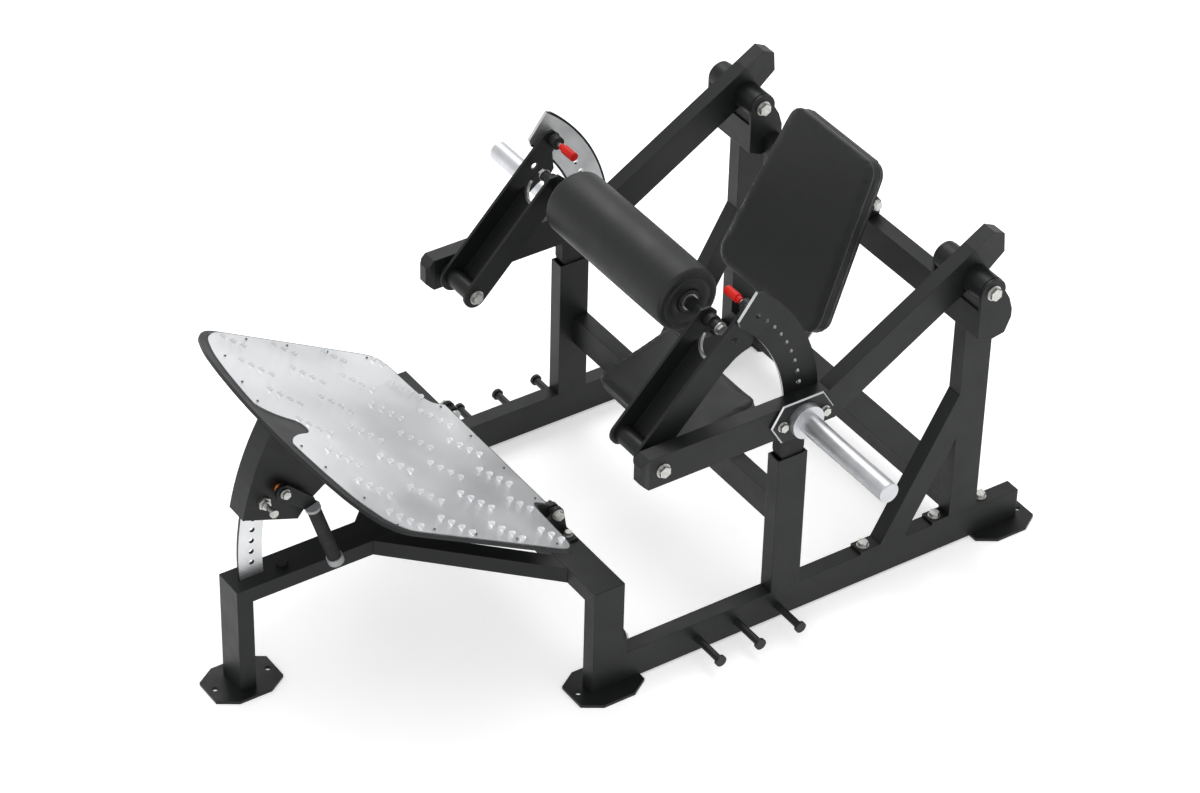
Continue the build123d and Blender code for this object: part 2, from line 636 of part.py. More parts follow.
def back_arm():
    """Short arm from the back board to its pivot barrel."""
    a = radians(BACK_TILT)
    dy, dz = KNUCKLE[0] - BACK_POINT[0], KNUCKLE[1] - BACK_POINT[1]
    up = dy * sin(a) + dz * cos(a)
    deep = dy * cos(a) - dz * sin(a)
    near = BACK_PAD + BACK_BOARD
    plate = back_plane() * Pos(0, up, -near - 3) * Box(140, 110, 6)
    bar = back_plane() * Pos(0, up, -(near + deep) / 2) * Box(60, 30, deep - near)
    barrel = rod(-42, 42, *KNUCKLE, 18)
    hole = rod(-60, 60, *KNUCKLE, 10 + RUN)
    return plate + bar + barrel - hole


def knuckle_bracket():
    """Two ears on the upper cross tube for the backrest pivot."""
    y0, y1, z1 = UPPER_TUBE[0], UPPER_TUBE[1], UPPER_TUBE[3]
    arc = [polar(KNUCKLE, 17, a) for a in range(0, 181, 15)]
    outline = arc + [(y0, z1), (y1, z1)]
    ear = side_plate(43, 51, outline) - rod(40, 60, *KNUCKLE, 10)
    return both(ear)


def knuckle_bolt():
    """Bolt through the backrest pivot."""
    bolt = rod(-51, 51, *KNUCKLE, 10)
    bolt += rod(51, 53, *KNUCKLE, 14) + hexagon(53, 62, *KNUCKLE, 22)
    return bolt + rod(-53, -51, *KNUCKLE, 14) + hexagon(-62, -53, *KNUCKLE, 22)


# ---- footplate ------------------------------------------------------------
def panel_plane():
    """Plane of the footplate's top face; local Y runs up the slope."""
    a = radians(PANEL_TILT)
    return Plane(origin=(0, PANEL_EDGE[0], PANEL_EDGE[1]), x_dir=(-1, 0, 0), z_dir=(0, sin(a), cos(a)))


def softened(points, reach, sharp=()):
    """Closed outline with its corners rounded, up to a reach along each side, except the sharp ones."""
    done = []
    for i, (x, y) in enumerate(points):
        if (abs(x), y) in sharp:
            done.append((x, y))
            continue
        ends = []
        for nx, ny in (points[i - 1], points[(i + 1) % len(points)]):
            length = hypot(nx - x, ny - y)
            share = min(reach, 0.45 * length) / length
            ends.append((x + (nx - x) * share, y + (ny - y) * share))
        (ax, ay), (bx, by) = ends
        for t in (0.0, 0.25, 0.5, 0.75, 1.0):
            done.append(((1 - t) ** 2 * ax + 2 * t * (1 - t) * x + t * t * bx,
                         (1 - t) ** 2 * ay + 2 * t * (1 - t) * y + t * t * by))
    return make_face(Polyline(*done, close=True))


def panel_outline(d):
    """Outline of the footplate, drawn in by d: hinge tongue, straight sides, bowed front edge."""
    w = PANEL_HALF - d
    tongue = 222.0 - d
    right = [(tongue, d), (tongue, 40 + d), (tongue + 24, 54 + d), (w - 34, 62 + d), (w - 8, 76 + d),
             (w, 100 + d), (w, 560 - d * 0.5), (w - 8, 588 - d), (w - 37, 622 - d), (w - 112, 651 - d),
             (w - 198, 666 - d), (w - 291, 676 - d), (w - 370, 680.5 - d)]
    left = [(-x, y) for x, y in reversed(right)]
    return softened(right + left, 30, sharp=right[:1])


def panel_tray():
    """Steel footplate with a folded lip underneath."""
    tray = panel_plane().offset(-PANEL_LIP) * extrude(panel_outline(0), PANEL_LIP - 2)
    return tray - panel_plane().offset(-PANEL_LIP) * extrude(panel_outline(5), PANEL_LIP - 6)


def tread_notch():
    """Tongue-shaped gap in the tread sheet at the middle of its high edge."""
    right = [(23, 566), (37, 612), (62, 646), (94, 663), (108, 700)]
    return softened([(-x, y) for x, y in reversed(right)] + right, 22)


def tread_sheet():
    """Bright embossed sheet riveted on the footplate."""
    outline = panel_outline(7) & (Pos(0, -13) * panel_outline(7))
    sheet = panel_plane().offset(-2) * extrude(outline, 2)
    return sheet - panel_plane().offset(-3) * extrude(tread_notch(), 4)


def panel_lug():
    """Hinge lug under a corner of the tongue."""
    a = radians(PANEL_TILT)
    y, z = HINGE
    top = (PANEL_EDGE[0] - PANEL_LIP * sin(a), PANEL_EDGE[1] - PANEL_LIP * cos(a))
    up = (top[0] - 70 * cos(a), top[1] + 70 * sin(a))
    arc = [polar(HINGE, 16, t) for t in range(-90, 61, 15)]
    lug = side_plate(206, 216, arc + [top, up, (y - 30, z - 14)])
    tray = panel_plane().offset(-PANEL_LIP) * extrude(panel_outline(0), PANEL_LIP)
    return lug - tray - rod(200, 220, y, z, 8 + RUN)


def hinge_bracket():
    """Standing ear and foot flange on the cross beam."""
    y, z = HINGE
    arc = [polar(HINGE, 17, a) for a in range(0, 181, 15)]
    ear = side_plate(226, 236, arc + [(y - 28, BEAM_TOP), (y + 26, BEAM_TOP)])
    base = block(236, 282, y - 28, y + 26, BEAM_TOP, BEAM_TOP + 6)
    return ear + base - rod(220, 240, y, z, 8)


def hinge_pin():
    """Hinge bolt through the lug and the ear."""
    y, z = HINGE
    pin = rod(198, 236, y, z, 8) + rod(236, 238, y, z, 14) + hexagon(238, 248, y, z, 21)
    return pin + rod(194, 198, y, z, 13)


def lock_strip():
    """Arc strip with locking holes, standing on the centre beam."""
    top, low = LOCK_ANGLE + 1.7, -7.0
    steps = [low + (top - low) * i / 16 for i in range(17)]
    outer = [forward(HINGE, STRIP_OUT, a) for a in steps]
    inner = [forward(HINGE, STRIP_IN, a) for a in reversed(steps)]
    strip = side_plate(-4, 4, outer + inner)
    strip -= block(-10, 10, -100, 200, 200, BEAM_TOP)
    for i in range(7):
        strip -= rod(-10, 10, *forward(HINGE, STRIP_HOLE_R, LOCK_ANGLE - STRIP_PITCH * i), 6.5)
    return strip


def box_angles():
    """Angles along the curved front of the adjuster box."""
    return [BOX_LOW + (BOX_HIGH - BOX_LOW) * i / 8 for i in range(9)]


def box_side():
    """Side plate of the adjuster box under the footplate."""
    arc = [forward(HINGE, BAND_IN, a) for a in box_angles()]
    outline = arc + [(300.0, 620.0), (300.0, 556.0), (235.0, 515.0), (172.0, 470.0), (140.0, 430.0)]
    plate = side_plate(BOX_HALF - PLATE_T, BOX_HALF, outline)
    tray = panel_plane().offset(-PANEL_LIP) * Pos(0, 400, 60) * Box(900, 900, 120)
    return plate - tray - rod(0, 60, *HANDLE_PIVOT, 8)


def box_band():
    """Curved front plate that closes the adjuster box."""
    angles = box_angles()
    outer = [forward(HINGE, BAND_OUT, a) for a in angles]
    inner = [forward(HINGE, BAND_IN, a) for a in reversed(angles)]
    band = side_plate(-BOX_HALF, BOX_HALF, outer + inner)
    tray = panel_plane().offset(-PANEL_LIP) * Pos(0, 400, 60) * Box(900, 900, 120)
    return band - tray


def lock_spot():
    """Station and height of the strip hole in use."""
    return forward(HINGE, STRIP_HOLE_R, LOCK_ANGLE)


def adjuster_box():
    """Adjuster box: two side plates and the curved front plate, with the lock bore."""
    side = box_side() - rod(10, 50, *lock_spot(), 11)
    return side + mirrored(box_side()) + box_band()


def lock_bush():
    """Bush that guides the locking pin."""
    y, z = lock_spot()
    body = rod(BOX_HALF - PLATE_T, BOX_HALF + 16, y, z, 11) + hexagon(BOX_HALF, BOX_HALF + 8, y, z, 28)
    return body - rod(0, 80, y, z, 6.05)


def lock_pin():
    """Locking pin with its pull head, parked clear of the strip."""
    y, z = lock_spot()
    return rod(4.5, 74, y, z, 6) + rod(74, 80, y, z, 10)


def handle_pin():
    """Pivot bolt of the locking handle."""
    y, z = HANDLE_PIVOT
    x0 = BOX_HALF - PLATE_T
    bolt = rod(x0, 58, y, z, 8) + rod(58, 60, y, z, 12) + hexagon(60, 68, y, z, 18)
    return bolt + hexagon(x0 - 7, x0, y, z, 18)


def handle_spring():
    """Return spring coiled round the handle pivot."""
    y, z = HANDLE_PIVOT
    return rod(31, 43, y, z, 13) - rod(30, 44, y, z, 9.5)


def handle_arm():
    """Flat crank of the locking handle."""
    y, z = HANDLE_PIVOT
    arc = [polar(HANDLE_PIVOT, 20, a) for a in range(60, 241, 20)]
    crank = side_plate(46, 56, arc + [(150.0, 466.0), (176.0, 474.0), (168.0, 496.0)])
    return crank - rod(40, 60, y, z, 8 + RUN)


def along_grip(start, end, r):
    """A round bar of the hanging grip between two distances from its top."""
    y0, z0, y1, z1 = 160.0, 478.0, 217.0, 300.0
    length = hypot(y1 - y0, z1 - z0)
    uy, uz = (y1 - y0) / length, (z1 - z0) / length
    plane = Plane(origin=(60, y0 + uy * start, z0 + uz * start), x_dir=(1, 0, 0), z_dir=(0, uy, uz))
    return plane * extrude(Circle(r), end - start)


def handle_grip():
    """Rubber grip hanging beside the centre beam."""
    return along_grip(10, 172, 16)


def handle_ends():
    """Ring above the grip and the round end piece below it."""
    ring = along_grip(2, 10, 18) - handle_arm()
    return ring, along_grip(172, 190, 19)


def bump_stop():
    """Small rubber stop on the centre beam under the adjuster box."""
    return Pos(0, 112, BEAM_TOP + 5) * Cylinder(14, 10)


def base_bolts():
    """Bolts of the rear post and brace base plates."""
    z = 2 * PLATE_T + TUBE_H
    out = []
    for y in (1612.0, 1748.0, 1404.0):
        out += both(bolt_up(RAIL_X, y, z))
    return out


def hinge_screws():
    """Screws of the footplate hinge flanges."""
    out = []
    for y in (HINGE[0] - 14, HINGE[0] + 12):
        out += both(bolt_up(262, y, BEAM_TOP + 6, 15))
    return out


def write_frame():
    """Everything that stands still."""
    save("foot_plates", foot(0, 0), foot(RAIL_X, SIDE_FOOT_Y), foot(-RAIL_X, SIDE_FOOT_Y),
         foot(RAIL_X, REAR_FOOT_Y), foot(-RAIL_X, REAR_FOOT_Y))
    save("centre_post", centre_post())
    save("centre_beam", centre_beam())
    save("cross_beam", cross_beam())
    save("front_side_posts", *both(side_post()))
    save("diagonal_braces", *both(diagonal_brace()))
    save("side_rails", *both(side_rail() + flange()))
    save("rail_end_caps", *both(rail_cap()))
    save("band_pegs", *[s for y in PEG_STATIONS for s in both(band_peg(y))])
    save("mid_posts", *both(mid_post() + stop_plate()))
    save("mid_cross_tube", mid_tube())
    save("rear_posts", *both(rear_post()))
    save("base_plates", *both(base_plate(1592.0, 1768.0)), *both(base_plate(1384.0, 1516.0)))
    save("rear_braces", *both(rear_brace()))
    save("frame_bolts", *both(flange_bolt()), *base_bolts(), *hinge_screws())
    save("pivot_brackets", *both(pivot_bracket()))
    save("rear_pivot_bolts", *both(rear_pin()))
    save("upper_rear_tube", box_tube(RAIL_X - EAR_OUT, *UPPER_TUBE))
    save("lower_rear_tube", box_tube(RAIL_X - TUBE_T / 2, *LOWER_TUBE))
    save("knuckle_bracket", *knuckle_bracket())
    save("knuckle_bolt", knuckle_bolt())
    save("seat_bracket", *seat_bracket())
    save("seat_board", seat_slab(SEAT_PAD, SEAT_PAD + SEAT_BOARD, 8, 20))
    save("seat_pad", seat_slab(0, SEAT_PAD, 0, 26))
    save("hinge_brackets", *both(hinge_bracket()))
    save("hinge_bolts", *both(hinge_pin()))
    save("lock_strip", lock_strip())
    save("bump_stop", bump_stop())


def write_levers():
    """Everything that swings on the rear pivots."""
    save("lever_arms", *both(lever_arm()))
    save("lever_end_caps", *both(lever_cap()), *both(nose_cap()))
    save("bearing_tubes", *both(bearing_tube()))
    save("lever_bumpers", *both(bumper()))
    save("quadrant_plates", *both(quadrant()))
    save("sleeve_plates", *both(sleeve_plate()))
    save("weight_sleeves", *both(weight_sleeve()))
    save("lever_bolts", *[s for b in sleeve_bolts() for s in both(b)], *both(front_pin()))


def write_pad_arms():
    """Arms, roller and pull-pins."""
    save("arm_channels", *both(arm_channel()))
    save("arm_pivot_barrels", *both(pivot_barrel()))
    save("plunger_housings", *both(plunger_housing()))
    save("roller_shaft", roller_shaft())
    save("shaft_ends", *[s for e in shaft_end() for s in both(e)])
    save("roller_core", roller_core())
    save("roller_pad", roller_pad())
    save("pull_pins_right", plunger_rod())
    save("pull_knob_right", plunger_knob())
    save("pull_pins_left", mirrored(plunger_rod()))
    save("pull_knob_left", mirrored(plunger_knob()))


def write_rests():
    """Backrest and footplate."""
    save("backrest_arm", back_arm())
    save("backrest_board", back_slab(BACK_PAD, BACK_PAD + BACK_BOARD, 12, 36))
    save("backrest_pad", back_slab(0, BACK_PAD, 0, 46))
    save("footplate_tray", panel_tray())
    save("tread_sheet", tread_sheet())
    save("panel_lugs", *both(panel_lug()))
    save("adjuster_box", adjuster_box())
    save("lock_pin", lock_pin())
    save("adjuster_pins", lock_bush(), handle_pin())
    save("handle_spring", handle_spring())
    save("handle_arm", handle_arm())
    save("handle_grip", handle_grip())
    save("handle_ends", *handle_ends())


write_frame()
write_levers()
write_pad_arms()
write_rests()
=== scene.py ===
# %% [markdown]
# # A hip-thrust machine, dressed for its studio portrait
# The steel frame, levers and plates arrive finished from CAD and stay where they are. This file
# gives them their paint and plating, replaces the plain cushions with upholstered ones, presses
# the tread pattern, and sets the floor, the lights and the camera. Hard parts could be modelled
# again here, but CAD already has their exact sizes and holes, so only what is soft, wound, sewn or
# pressed is made in this file.

# %% Load the machine
import math

import bmesh
import bpy
from mathutils import Matrix, Vector
from mathutils.bvhtree import BVHTree


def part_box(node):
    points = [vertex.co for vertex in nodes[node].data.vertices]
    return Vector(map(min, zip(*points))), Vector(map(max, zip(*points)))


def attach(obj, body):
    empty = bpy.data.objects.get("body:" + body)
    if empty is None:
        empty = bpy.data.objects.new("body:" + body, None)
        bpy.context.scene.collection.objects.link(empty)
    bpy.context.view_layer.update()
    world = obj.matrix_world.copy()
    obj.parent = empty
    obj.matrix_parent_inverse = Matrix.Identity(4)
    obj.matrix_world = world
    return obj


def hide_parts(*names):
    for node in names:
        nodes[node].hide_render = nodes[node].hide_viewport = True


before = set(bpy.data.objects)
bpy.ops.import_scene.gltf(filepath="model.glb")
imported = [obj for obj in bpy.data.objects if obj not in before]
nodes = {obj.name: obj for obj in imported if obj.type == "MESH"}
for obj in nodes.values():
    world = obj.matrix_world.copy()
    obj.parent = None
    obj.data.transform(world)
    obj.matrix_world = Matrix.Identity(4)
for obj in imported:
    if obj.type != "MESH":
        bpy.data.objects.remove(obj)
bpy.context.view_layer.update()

MM = 0.001  # the scene is in metres
MATH = "ShaderNodeMath"
scene = bpy.context.scene

# %% [markdown]
# ## Small tools
# Shaders want linear colour, while paint charts and screens give sRGB, so one function turns a hex
# value into linear light. A second one adds a shader or geometry node, sets what it is given and
# links what is a socket. A helper for each kind of node would also work, but one that knows every
# kind is less to learn, and a line then reads as the node it makes.


# %% Colour and node helpers
def linear(code, alpha=1.0):
    """A hex colour as linear RGBA."""
    parts = [int(code[i:i + 2], 16) / 255 for i in (0, 2, 4)]
    lit = [c / 12.92 if c <= 0.04045 else ((c + 0.055) / 1.055) ** 2.4 for c in parts]
    return (*lit, alpha)


def wire(tree, socket, value):
    """Link a socket to another one, or set it to a plain value."""
    if isinstance(value, bpy.types.NodeSocket):
        tree.links.new(value, socket)
    else:
        socket.default_value = value


def put(tree, kind, *inputs, **settings):
    """Add a node: keywords are its properties or named inputs, the rest are inputs in order."""
    node = tree.nodes.new(kind)
    for name in [n for n in settings if n in node.bl_rna.properties]:
        setattr(node, name, settings.pop(name))
    for name, value in settings.items():
        wire(tree, node.inputs[name.replace("_", " ")], value)
    for socket, value in zip(node.inputs, inputs):
        if value is not None:
            wire(tree, socket, value)
    return node


def start(name, **principled):
    """A new material with its Principled shader set."""
    material = bpy.data.materials.new(name)
    material.use_nodes = True
    tree = material.node_tree
    shader = tree.nodes["Principled BSDF"]
    for key, value in principled.items():
        wire(tree, shader.inputs[key.replace("_", " ")], value)
    place = put(tree, "ShaderNodeTexCoord").outputs["Object"]
    return material, tree, shader, place


def per_mm(size):
    """Scale of a pattern on metre coordinates whose cells are that many millimetres wide."""
    return 1000.0 / size


print("helpers ready; mid grey 808080 is", round(linear("808080")[0], 3))

# %% [markdown]
# ## Powder coat
# The whole frame is steel tube and plate, sprayed with black polyester powder and baked. Up close
# the coat has an orange-peel skin about 2 mm across; it is drawn at 5 mm so that it shows. An image
# of painted steel could be wrapped round it, but noise needs no unwrapping and has no seams. The
# tube's 2 mm corners could be cut in the mesh too; a Bevel node rounds only their shading, which
# leaves the CAD as it is, and broad noise gives the slight cloudiness of sprayed powder.


# %% Powder-coated steel
COLOUR_MIX = (0, 6, 7)  # a Mix node's factor and two colours, among its sockets for every type
PAINT_SHINE = 0.26  # specular level of satin polyester powder


def speckle(tree, place, size, low, high, spread=0.5, detail=3.0):
    """Noise of a size in millimetres, stretched between two values."""
    noise = put(tree, "ShaderNodeTexNoise", Vector=place, Scale=per_mm(size), Detail=detail)
    return put(tree, "ShaderNodeMapRange", noise.outputs["Fac"],
               From_Min=0.5 - spread / 2, From_Max=0.5 + spread / 2,
               To_Min=low, To_Max=high).outputs["Result"]


def tint(tree, factor, dark, light):
    """Colour between two, each a hex value or a colour socket."""
    mix = put(tree, "ShaderNodeMix", data_type="RGBA")
    for index, value in zip(COLOUR_MIX, (factor, dark, light)):
        wire(tree, mix.inputs[index], linear(value) if isinstance(value, str) else value)
    return mix.outputs[2]


def skin(tree, shader, height, depth, strength=0.5, corner=0.0):
    """Bump of a depth in millimetres over corners rounded by a radius in millimetres."""
    bump = put(tree, "ShaderNodeBump", Strength=strength, Distance=depth * MM, Height=height)
    if corner:
        rounded = put(tree, "ShaderNodeBevel", samples=6, Radius=corner * MM)
        wire(tree, bump.inputs["Normal"], rounded.outputs["Normal"])
    wire(tree, shader.inputs["Normal"], bump.outputs["Normal"])


def paint_colour(tree, place):
    """Black paint, clouded over a hand's width by the spray gun."""
    return tint(tree, speckle(tree, place, 140, 0.0, 1.0), "141516", "1b1c1d")


def powder_coat():
    """Satin black polyester powder on steel: soft highlights and a faint orange-peel skin."""
    material, tree, shader, place = start("powder_coated_steel", Specular_IOR_Level=PAINT_SHINE)
    wire(tree, shader.inputs["Base Color"], paint_colour(tree, place))
    wire(tree, shader.inputs["Roughness"], speckle(tree, place, 60, 0.38, 0.50))
    skin(tree, shader, speckle(tree, place, 5, 0.0, 1.0), 0.08, 0.6, corner=2.0)
    return material


steel_black = powder_coat()
print("made", steel_black.name)

# %% [markdown]
# ## Plated metals
# Bolts are rolled steel, plated with zinc: pale and slightly blotchy. The weight sleeves are turned
# on a lathe and satin plated, so their marks run round the axis. The return spring is steel wire
# washed with copper. All three could share one grey metal, but the eye tells them apart by how the
# gloss varies, so each has its own noise: blotches for zinc, rings for the sleeve.


# %% Zinc, sleeve plating and copper wire
def zinc_plate():
    """Blue zinc plating on a rolled bolt: soft blotches and a mid gloss."""
    material, tree, shader, place = start("zinc_plated_steel", Metallic=1.0)
    blotch = speckle(tree, place, 9, 0.0, 1.0)
    wire(tree, shader.inputs["Base Color"], tint(tree, blotch, "a9aaa8", "cfcfca"))
    wire(tree, shader.inputs["Roughness"], speckle(tree, place, 4, 0.26, 0.42))
    skin(tree, shader, speckle(tree, place, 2, 0.0, 1.0), 0.03, 0.4, corner=1.0)
    return material


def sleeve_plate_finish():
    """Satin chrome on a turned sleeve: soft rings left by the lathe, drawn 4 mm apart."""
    material, tree, shader, place = start("satin_chrome_sleeve", Metallic=1.0)
    drawn = put(tree, "ShaderNodeMapping", Vector=place, Scale=(1.0, 0.02, 0.02))
    rings = put(tree, "ShaderNodeTexNoise", Vector=drawn.outputs["Vector"], Scale=per_mm(4),
                Detail=1.0)
    smear = speckle(tree, place, 30, 0.0, 1.0)
    wire(tree, shader.inputs["Base Color"], tint(tree, smear, "c2c3c6", "cfd0d3"))
    wire(tree, shader.inputs["Roughness"], speckle(tree, place, 40, 0.38, 0.46))
    skin(tree, shader, rings.outputs["Fac"], 0.02, 0.3, corner=1.0)
    return material


def copper_wire():
    """Copper-washed spring steel: warm and glossy, drawn smooth through a die."""
    material, tree, shader, place = start("copper_washed_wire", Metallic=1.0, Roughness=0.32)
    wire(tree, shader.inputs["Base Color"],
         tint(tree, speckle(tree, place, 5, 0.0, 1.0), "b5602a", "d9874a"))
    skin(tree, shader, speckle(tree, place, 2, 0.0, 1.0), 0.02, 0.4)
    return material


zinc, chrome, copper = zinc_plate(), sleeve_plate_finish(), copper_wire()
print("made", zinc.name, chrome.name, copper.name)

# %% [markdown]
# ## Tread sheet
# The footplate and the arc plates wear a bright aluminium sheet, rolled with small ribs 6.5 mm
# apart that run at 45 degrees. There are hundreds of them and each is a fraction of a millimetre
# high, so real ribs would cost a great many faces for little. They are bump instead, a sine along
# the diagonal, flattened in patches as a worn roll leaves them. The same sine also tints the
# colour:
# grooves painted darker and crests lighter, painted shade and light that make the ribs show. The
# larger oval buttons come later, as real geometry.


# %% Rolled aluminium tread
RIB_PITCH = 6.5  # millimetres
tilt = math.radians(29.1)  # how far the footplate slopes at rest
up_slope = Vector((0.0, -math.cos(tilt), math.sin(tilt)))
across = Vector((1.0, 0.0, 0.0))
rib_normal = (across + up_slope).normalized()


def ribs(tree, place, direction):
    """Rounded ribs across a direction, as heights from -1 to 1."""
    run = put(tree, "ShaderNodeVectorMath", operation="DOT_PRODUCT")
    wire(tree, run.inputs[0], place)
    run.inputs[1].default_value = direction
    turn = put(tree, MATH, run.outputs["Value"], 2 * math.pi * per_mm(RIB_PITCH),
               operation="MULTIPLY").outputs[0]
    wave = put(tree, MATH, turn, operation="SINE").outputs[0]
    worn = speckle(tree, place, 90, 0.15, 1.0, 0.25)
    return put(tree, MATH, wave, worn, operation="MULTIPLY").outputs[0]


def tread_aluminium(direction):
    """Bright mill-finish aluminium, rolled with fine ribs; the roll smears its gloss in bands."""
    material, tree, shader, place = start("rolled_tread_aluminium", Metallic=1.0)
    smear = speckle(tree, place, 220, 0.0, 1.0, 0.6, 1.0)
    rib = ribs(tree, place, direction)
    # Painted shade in the grooves and painted light on the crests, added to the broad random smear.
    shade = put(tree, MATH, rib, 0.35, smear, operation="MULTIPLY_ADD").outputs[0]
    wire(tree, shader.inputs["Base Color"], tint(tree, shade, "c8cacc", "e4e5e7"))
    wire(tree, shader.inputs["Roughness"], speckle(tree, place, 160, 0.36, 0.42, 0.6, 1.0))
    skin(tree, shader, rib, 0.5, 0.6)
    return material


tread = tread_aluminium(rib_normal)
print("ribs run across", tuple(round(v, 3) for v in rib_normal))

# %% [markdown]
# ## Plates with two finishes
# Three kinds of plate are painted but show bright metal in places: the arc plates carry a thin
# tread sheet on their inward face, the locking strip has one on both faces, and the six-sided
# plates at the weight sleeves have a bright chamfer. The faces could be given a second material one
# by one, but a CAD mesh is left alone here. A mask made from the face's own direction and place
# says where the metal shows, so holes and edges stay where CAD put them.


# %% Masks and two-finish plates
SQUARE_ON = 0.9  # a face this far along an axis looks straight down it
CHAMFER_FROM, CHAMFER_TO = 0.15, 0.95  # a chamfer lies between an edge and a face
DIAGONAL = (0, 0.7071, 0.7071)  # ribs at 45 degrees on an upright plate


def facing(tree, axis):
    """How far a face points along an axis of the object, from -1 to 1."""
    normal = put(tree, "ShaderNodeTexCoord").outputs["Normal"]
    return put(tree, "ShaderNodeSeparateXYZ", normal).outputs[axis]


def two_finish(name, mask_of, bare, roughness, direction, rib_depth):
    """Powder coat that turns to bare metal where a mask is one."""
    material, tree, shader, place = start(name, Specular_IOR_Level=PAINT_SHINE)
    mask = mask_of(tree, place)
    metal = tint(tree, speckle(tree, place, 60, 0.0, 1.0), *bare)
    wire(tree, shader.inputs["Base Color"], tint(tree, mask, paint_colour(tree, place), metal))
    wire(tree, shader.inputs["Metallic"], mask)
    wire(tree, shader.inputs["Roughness"], speckle(tree, place, 60, *roughness))
    rib = put(tree, MATH, ribs(tree, place, direction), mask, operation="MULTIPLY").outputs[0]
    skin(tree, shader, rib, rib_depth, 0.5)
    return material


def chamfer_mask(tree, place):
    """The sloping rim of a plate that lies across X."""
    turned = put(tree, MATH, facing(tree, "X"), operation="ABSOLUTE").outputs[0]
    sloping = put(tree, MATH, turned, CHAMFER_FROM, operation="GREATER_THAN").outputs[0]
    not_flat = put(tree, MATH, turned, CHAMFER_TO, operation="LESS_THAN").outputs[0]
    return put(tree, MATH, sloping, not_flat, operation="MULTIPLY").outputs[0]


def strip_mask(tree, place):
    """Both broad faces of the locking strip."""
    turned = put(tree, MATH, facing(tree, "X"), operation="ABSOLUTE").outputs[0]
    return put(tree, MATH, turned, SQUARE_ON, operation="GREATER_THAN").outputs[0]


# A milled chamfer on a painted plate: a thin pale line round its outline, with no ribs.
rim_finish = two_finish("plate_with_bright_chamfer", chamfer_mask, bare=("c6c7c9", "dcdddf"),
                        roughness=(0.36, 0.44), direction=(0, 0, 1), rib_depth=0.0)
# Tread sheet on both faces of the strip: the palest metal here, broken up by shallow ribs.
strip_finish = two_finish("plate_with_bright_faces", strip_mask, bare=("d8dadc", "eeeff0"),
                          roughness=(0.36, 0.44), direction=DIAGONAL, rib_depth=0.2)
print("made", rim_finish.name, strip_finish.name)

# %% Arc plates
front_pivot = Vector((0.0, -0.0885, 0.574))  # where the pad arms hinge, the arcs' centre
arc_in, arc_out = 0.357, 0.4395  # the bright sheet's radii, inside the plate's black border
EDGE_ON = 0.3  # a face this little along an axis is an edge of the plate
CUT_END = -0.6  # and this far towards the front is its cut upper end


def arc_mask(tree, place):
    """The inward face of an arc plate inside its black border, and its cut upper end."""
    spot = put(tree, "ShaderNodeSeparateXYZ", place)
    side = put(tree, MATH, spot.outputs["X"], operation="SIGN").outputs[0]
    inward = put(tree, MATH, facing(tree, "X"), side, operation="MULTIPLY").outputs[0]
    offset = put(tree, "ShaderNodeVectorMath", place, tuple(front_pivot), operation="SUBTRACT")
    flat = put(tree, "ShaderNodeVectorMath", offset.outputs[0], (0, 1, 1), operation="MULTIPLY")
    reach = put(tree, "ShaderNodeVectorMath", flat.outputs[0], operation="LENGTH").outputs["Value"]
    centred = put(tree, MATH, reach, (arc_in + arc_out) / 2, operation="SUBTRACT").outputs[0]
    away = put(tree, MATH, centred, operation="ABSOLUTE").outputs[0]
    ring = put(tree, MATH, away, (arc_out - arc_in) / 2, operation="LESS_THAN").outputs[0]
    toward = put(tree, MATH, inward, -SQUARE_ON, operation="LESS_THAN").outputs[0]
    face = put(tree, MATH, toward, ring, operation="MULTIPLY").outputs[0]
    turned = put(tree, MATH, inward, operation="ABSOLUTE").outputs[0]
    edge = put(tree, MATH, turned, EDGE_ON, operation="LESS_THAN").outputs[0]
    frontward = put(tree, MATH, facing(tree, "Y"), CUT_END, operation="LESS_THAN").outputs[0]
    cut = put(tree, MATH, edge, frontward, operation="MULTIPLY").outputs[0]
    return put(tree, MATH, face, cut, operation="MAXIMUM").outputs[0]


# Tread sheet on the inward face: a little duller than the strip, with deeper ribs.
arc_finish = two_finish("arc_plate_with_tread", arc_mask, bare=("c4c6c8", "e2e3e4"),
                        roughness=(0.42, 0.5), direction=DIAGONAL, rib_depth=0.3)
print("made", arc_finish.name)

# %% [markdown]
# ## Plastics, rubber and vinyl
# Knobs are glossy injection-moulded red. Caps and pegs are nylon with a fine spark-eroded grain,
# and rubber is dull. They are all moulded, so one function makes them and only colour, gloss and
# grain differ. The cushions wear upholstery vinyl, embossed with pebbles about 1.5 mm wide, drawn
# at 3 mm to show. Noise would make soft lumps; the distance to the edge of a Voronoi cell gives
# flat pebbles with a crease between them, as an embossing roll does.


# %% Moulded parts and vinyl
def moulded(name, dark, light, roughness, grain=2.5, depth=0.04, shine=0.35):
    """Injection-moulded plastic or rubber with a fine grain."""
    material, tree, shader, place = start(name, Specular_IOR_Level=shine)
    wire(tree, shader.inputs["Base Color"], tint(tree, speckle(tree, place, 40, 0, 1), dark, light))
    wire(tree, shader.inputs["Roughness"], speckle(tree, place, 15, *roughness))
    skin(tree, shader, speckle(tree, place, grain, 0, 1), depth, 0.5, corner=1.2)
    return material


